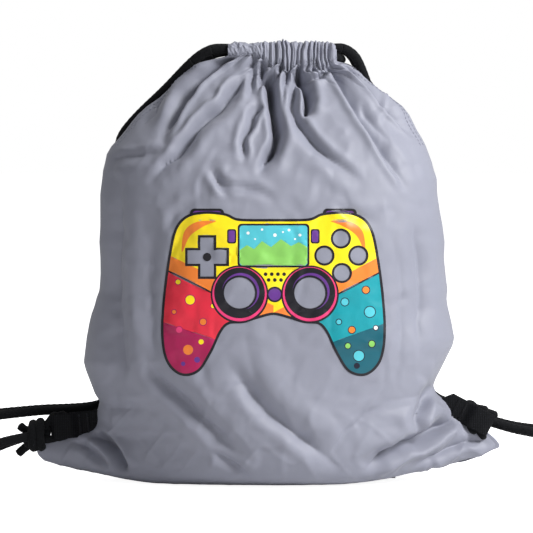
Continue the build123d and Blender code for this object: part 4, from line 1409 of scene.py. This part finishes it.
ink_materials = [ink_material("ink_" + ink, levels) for ink, levels in INKS.items()]
seen, triangles, inks = triangulate(draw_print())
points = np.array([cast(x, z) for x, z in seen])
a, b, c = points[triangles[0]]
if np.cross(b - a, c - a)[1] > 0:       # turn the faces to the front
    triangles = [triangle[::-1] for triangle in triangles]
film = new_mesh("front_print_ink", points, triangles, ink_materials, inks)
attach(film, "bag")
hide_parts("front_print_film")


# ---------------------------------------------------------------- floor, lights, camera
def make_floor():
    """Plain pale paper the sack stands on."""
    half = 9.0
    mesh = bpy.data.meshes.new("studio_floor")
    corners = [(-half, -half, 0), (half, -half, 0), (half, half, 0), (-half, half, 0)]
    mesh.from_pydata(corners, [], [[0, 1, 2, 3]])
    obj = bpy.data.objects.new("studio_floor", mesh)
    bpy.context.scene.collection.objects.link(obj)
    look = Look("studio_paper")
    blotch = look.add("TexNoise", {"Scale": 3.0}).outputs["Fac"]
    colour = look.ramp(blotch, (0.90, 0.90, 0.905), (0.93, 0.93, 0.93))
    # it glows for the camera only
    seen_directly = look.add("LightPath", {}).outputs["Is Camera Ray"]
    mesh.materials.append(look.finish(
        Base_Color=colour, Roughness=0.95, Specular_IOR_Level=0.1,
        Emission_Color=(1, 1, 1, 1), Emission_Strength=look.math("MULTIPLY", seen_directly, 0.93)))
    return obj


def aim_at(obj, location, target):
    obj.location = location
    obj.rotation_euler = (Vector(target) - obj.location).to_track_quat("-Z", "Y").to_euler()
    bpy.context.scene.collection.objects.link(obj)


def softbox(name, location, target, size, power):
    """Square area light, in metres and watts."""
    light = bpy.data.lights.new(name, "AREA")
    light.shape = "RECTANGLE"
    light.size = light.size_y = size
    light.energy = power
    light.color = (1, 1, 1)
    obj = bpy.data.objects.new(name, light)
    aim_at(obj, location, target)
    return obj


def make_world():
    """White surroundings: dim as a light, full white to the camera."""
    world = bpy.data.worlds.new("studio_world")
    world.use_nodes = True
    nodes, links = world.node_tree.nodes, world.node_tree.links
    lighting = nodes["Background"]
    shown = nodes.new("ShaderNodeBackground")
    for background, strength in ((lighting, 0.23), (shown, 1.0)):
        background.inputs["Color"].default_value = (1, 1, 1, 1)
        background.inputs["Strength"].default_value = strength
    path = nodes.new("ShaderNodeLightPath")
    mix = nodes.new("ShaderNodeMixShader")
    links.new(path.outputs["Is Camera Ray"], mix.inputs[0])
    links.new(lighting.outputs[0], mix.inputs[1])
    links.new(shown.outputs[0], mix.inputs[2])
    links.new(mix.outputs[0], nodes["World Output"].inputs["Surface"])
    return world


def make_camera():
    data = bpy.data.cameras.new("photo_camera")
    data.lens = LENS
    data.sensor_width = SENSOR
    data.clip_end = 50.0
    obj = bpy.data.objects.new("photo_camera", data)
    aim_at(obj, to_metres(EYE), to_metres(AIM))
    return obj


scene = bpy.context.scene
floor = make_floor()
lights = [
    softbox("key_softbox", location=(1.15, -0.75, 1.05), target=(0, 0, 0.16), size=0.5, power=33.0),
    softbox("fill_softbox", location=(-1.2, -1.5, 0.7), target=(0, 0, 0.15), size=1.0, power=1.6),
    softbox("top_softbox", location=(0.1, 0.3, 1.7), target=(0, 0, 0.1), size=1.0, power=8.0),
]
scene.world = make_world()
camera = make_camera()
scene.camera = camera
scene.view_settings.view_transform = "Standard"
scene.view_settings.exposure = 0.0
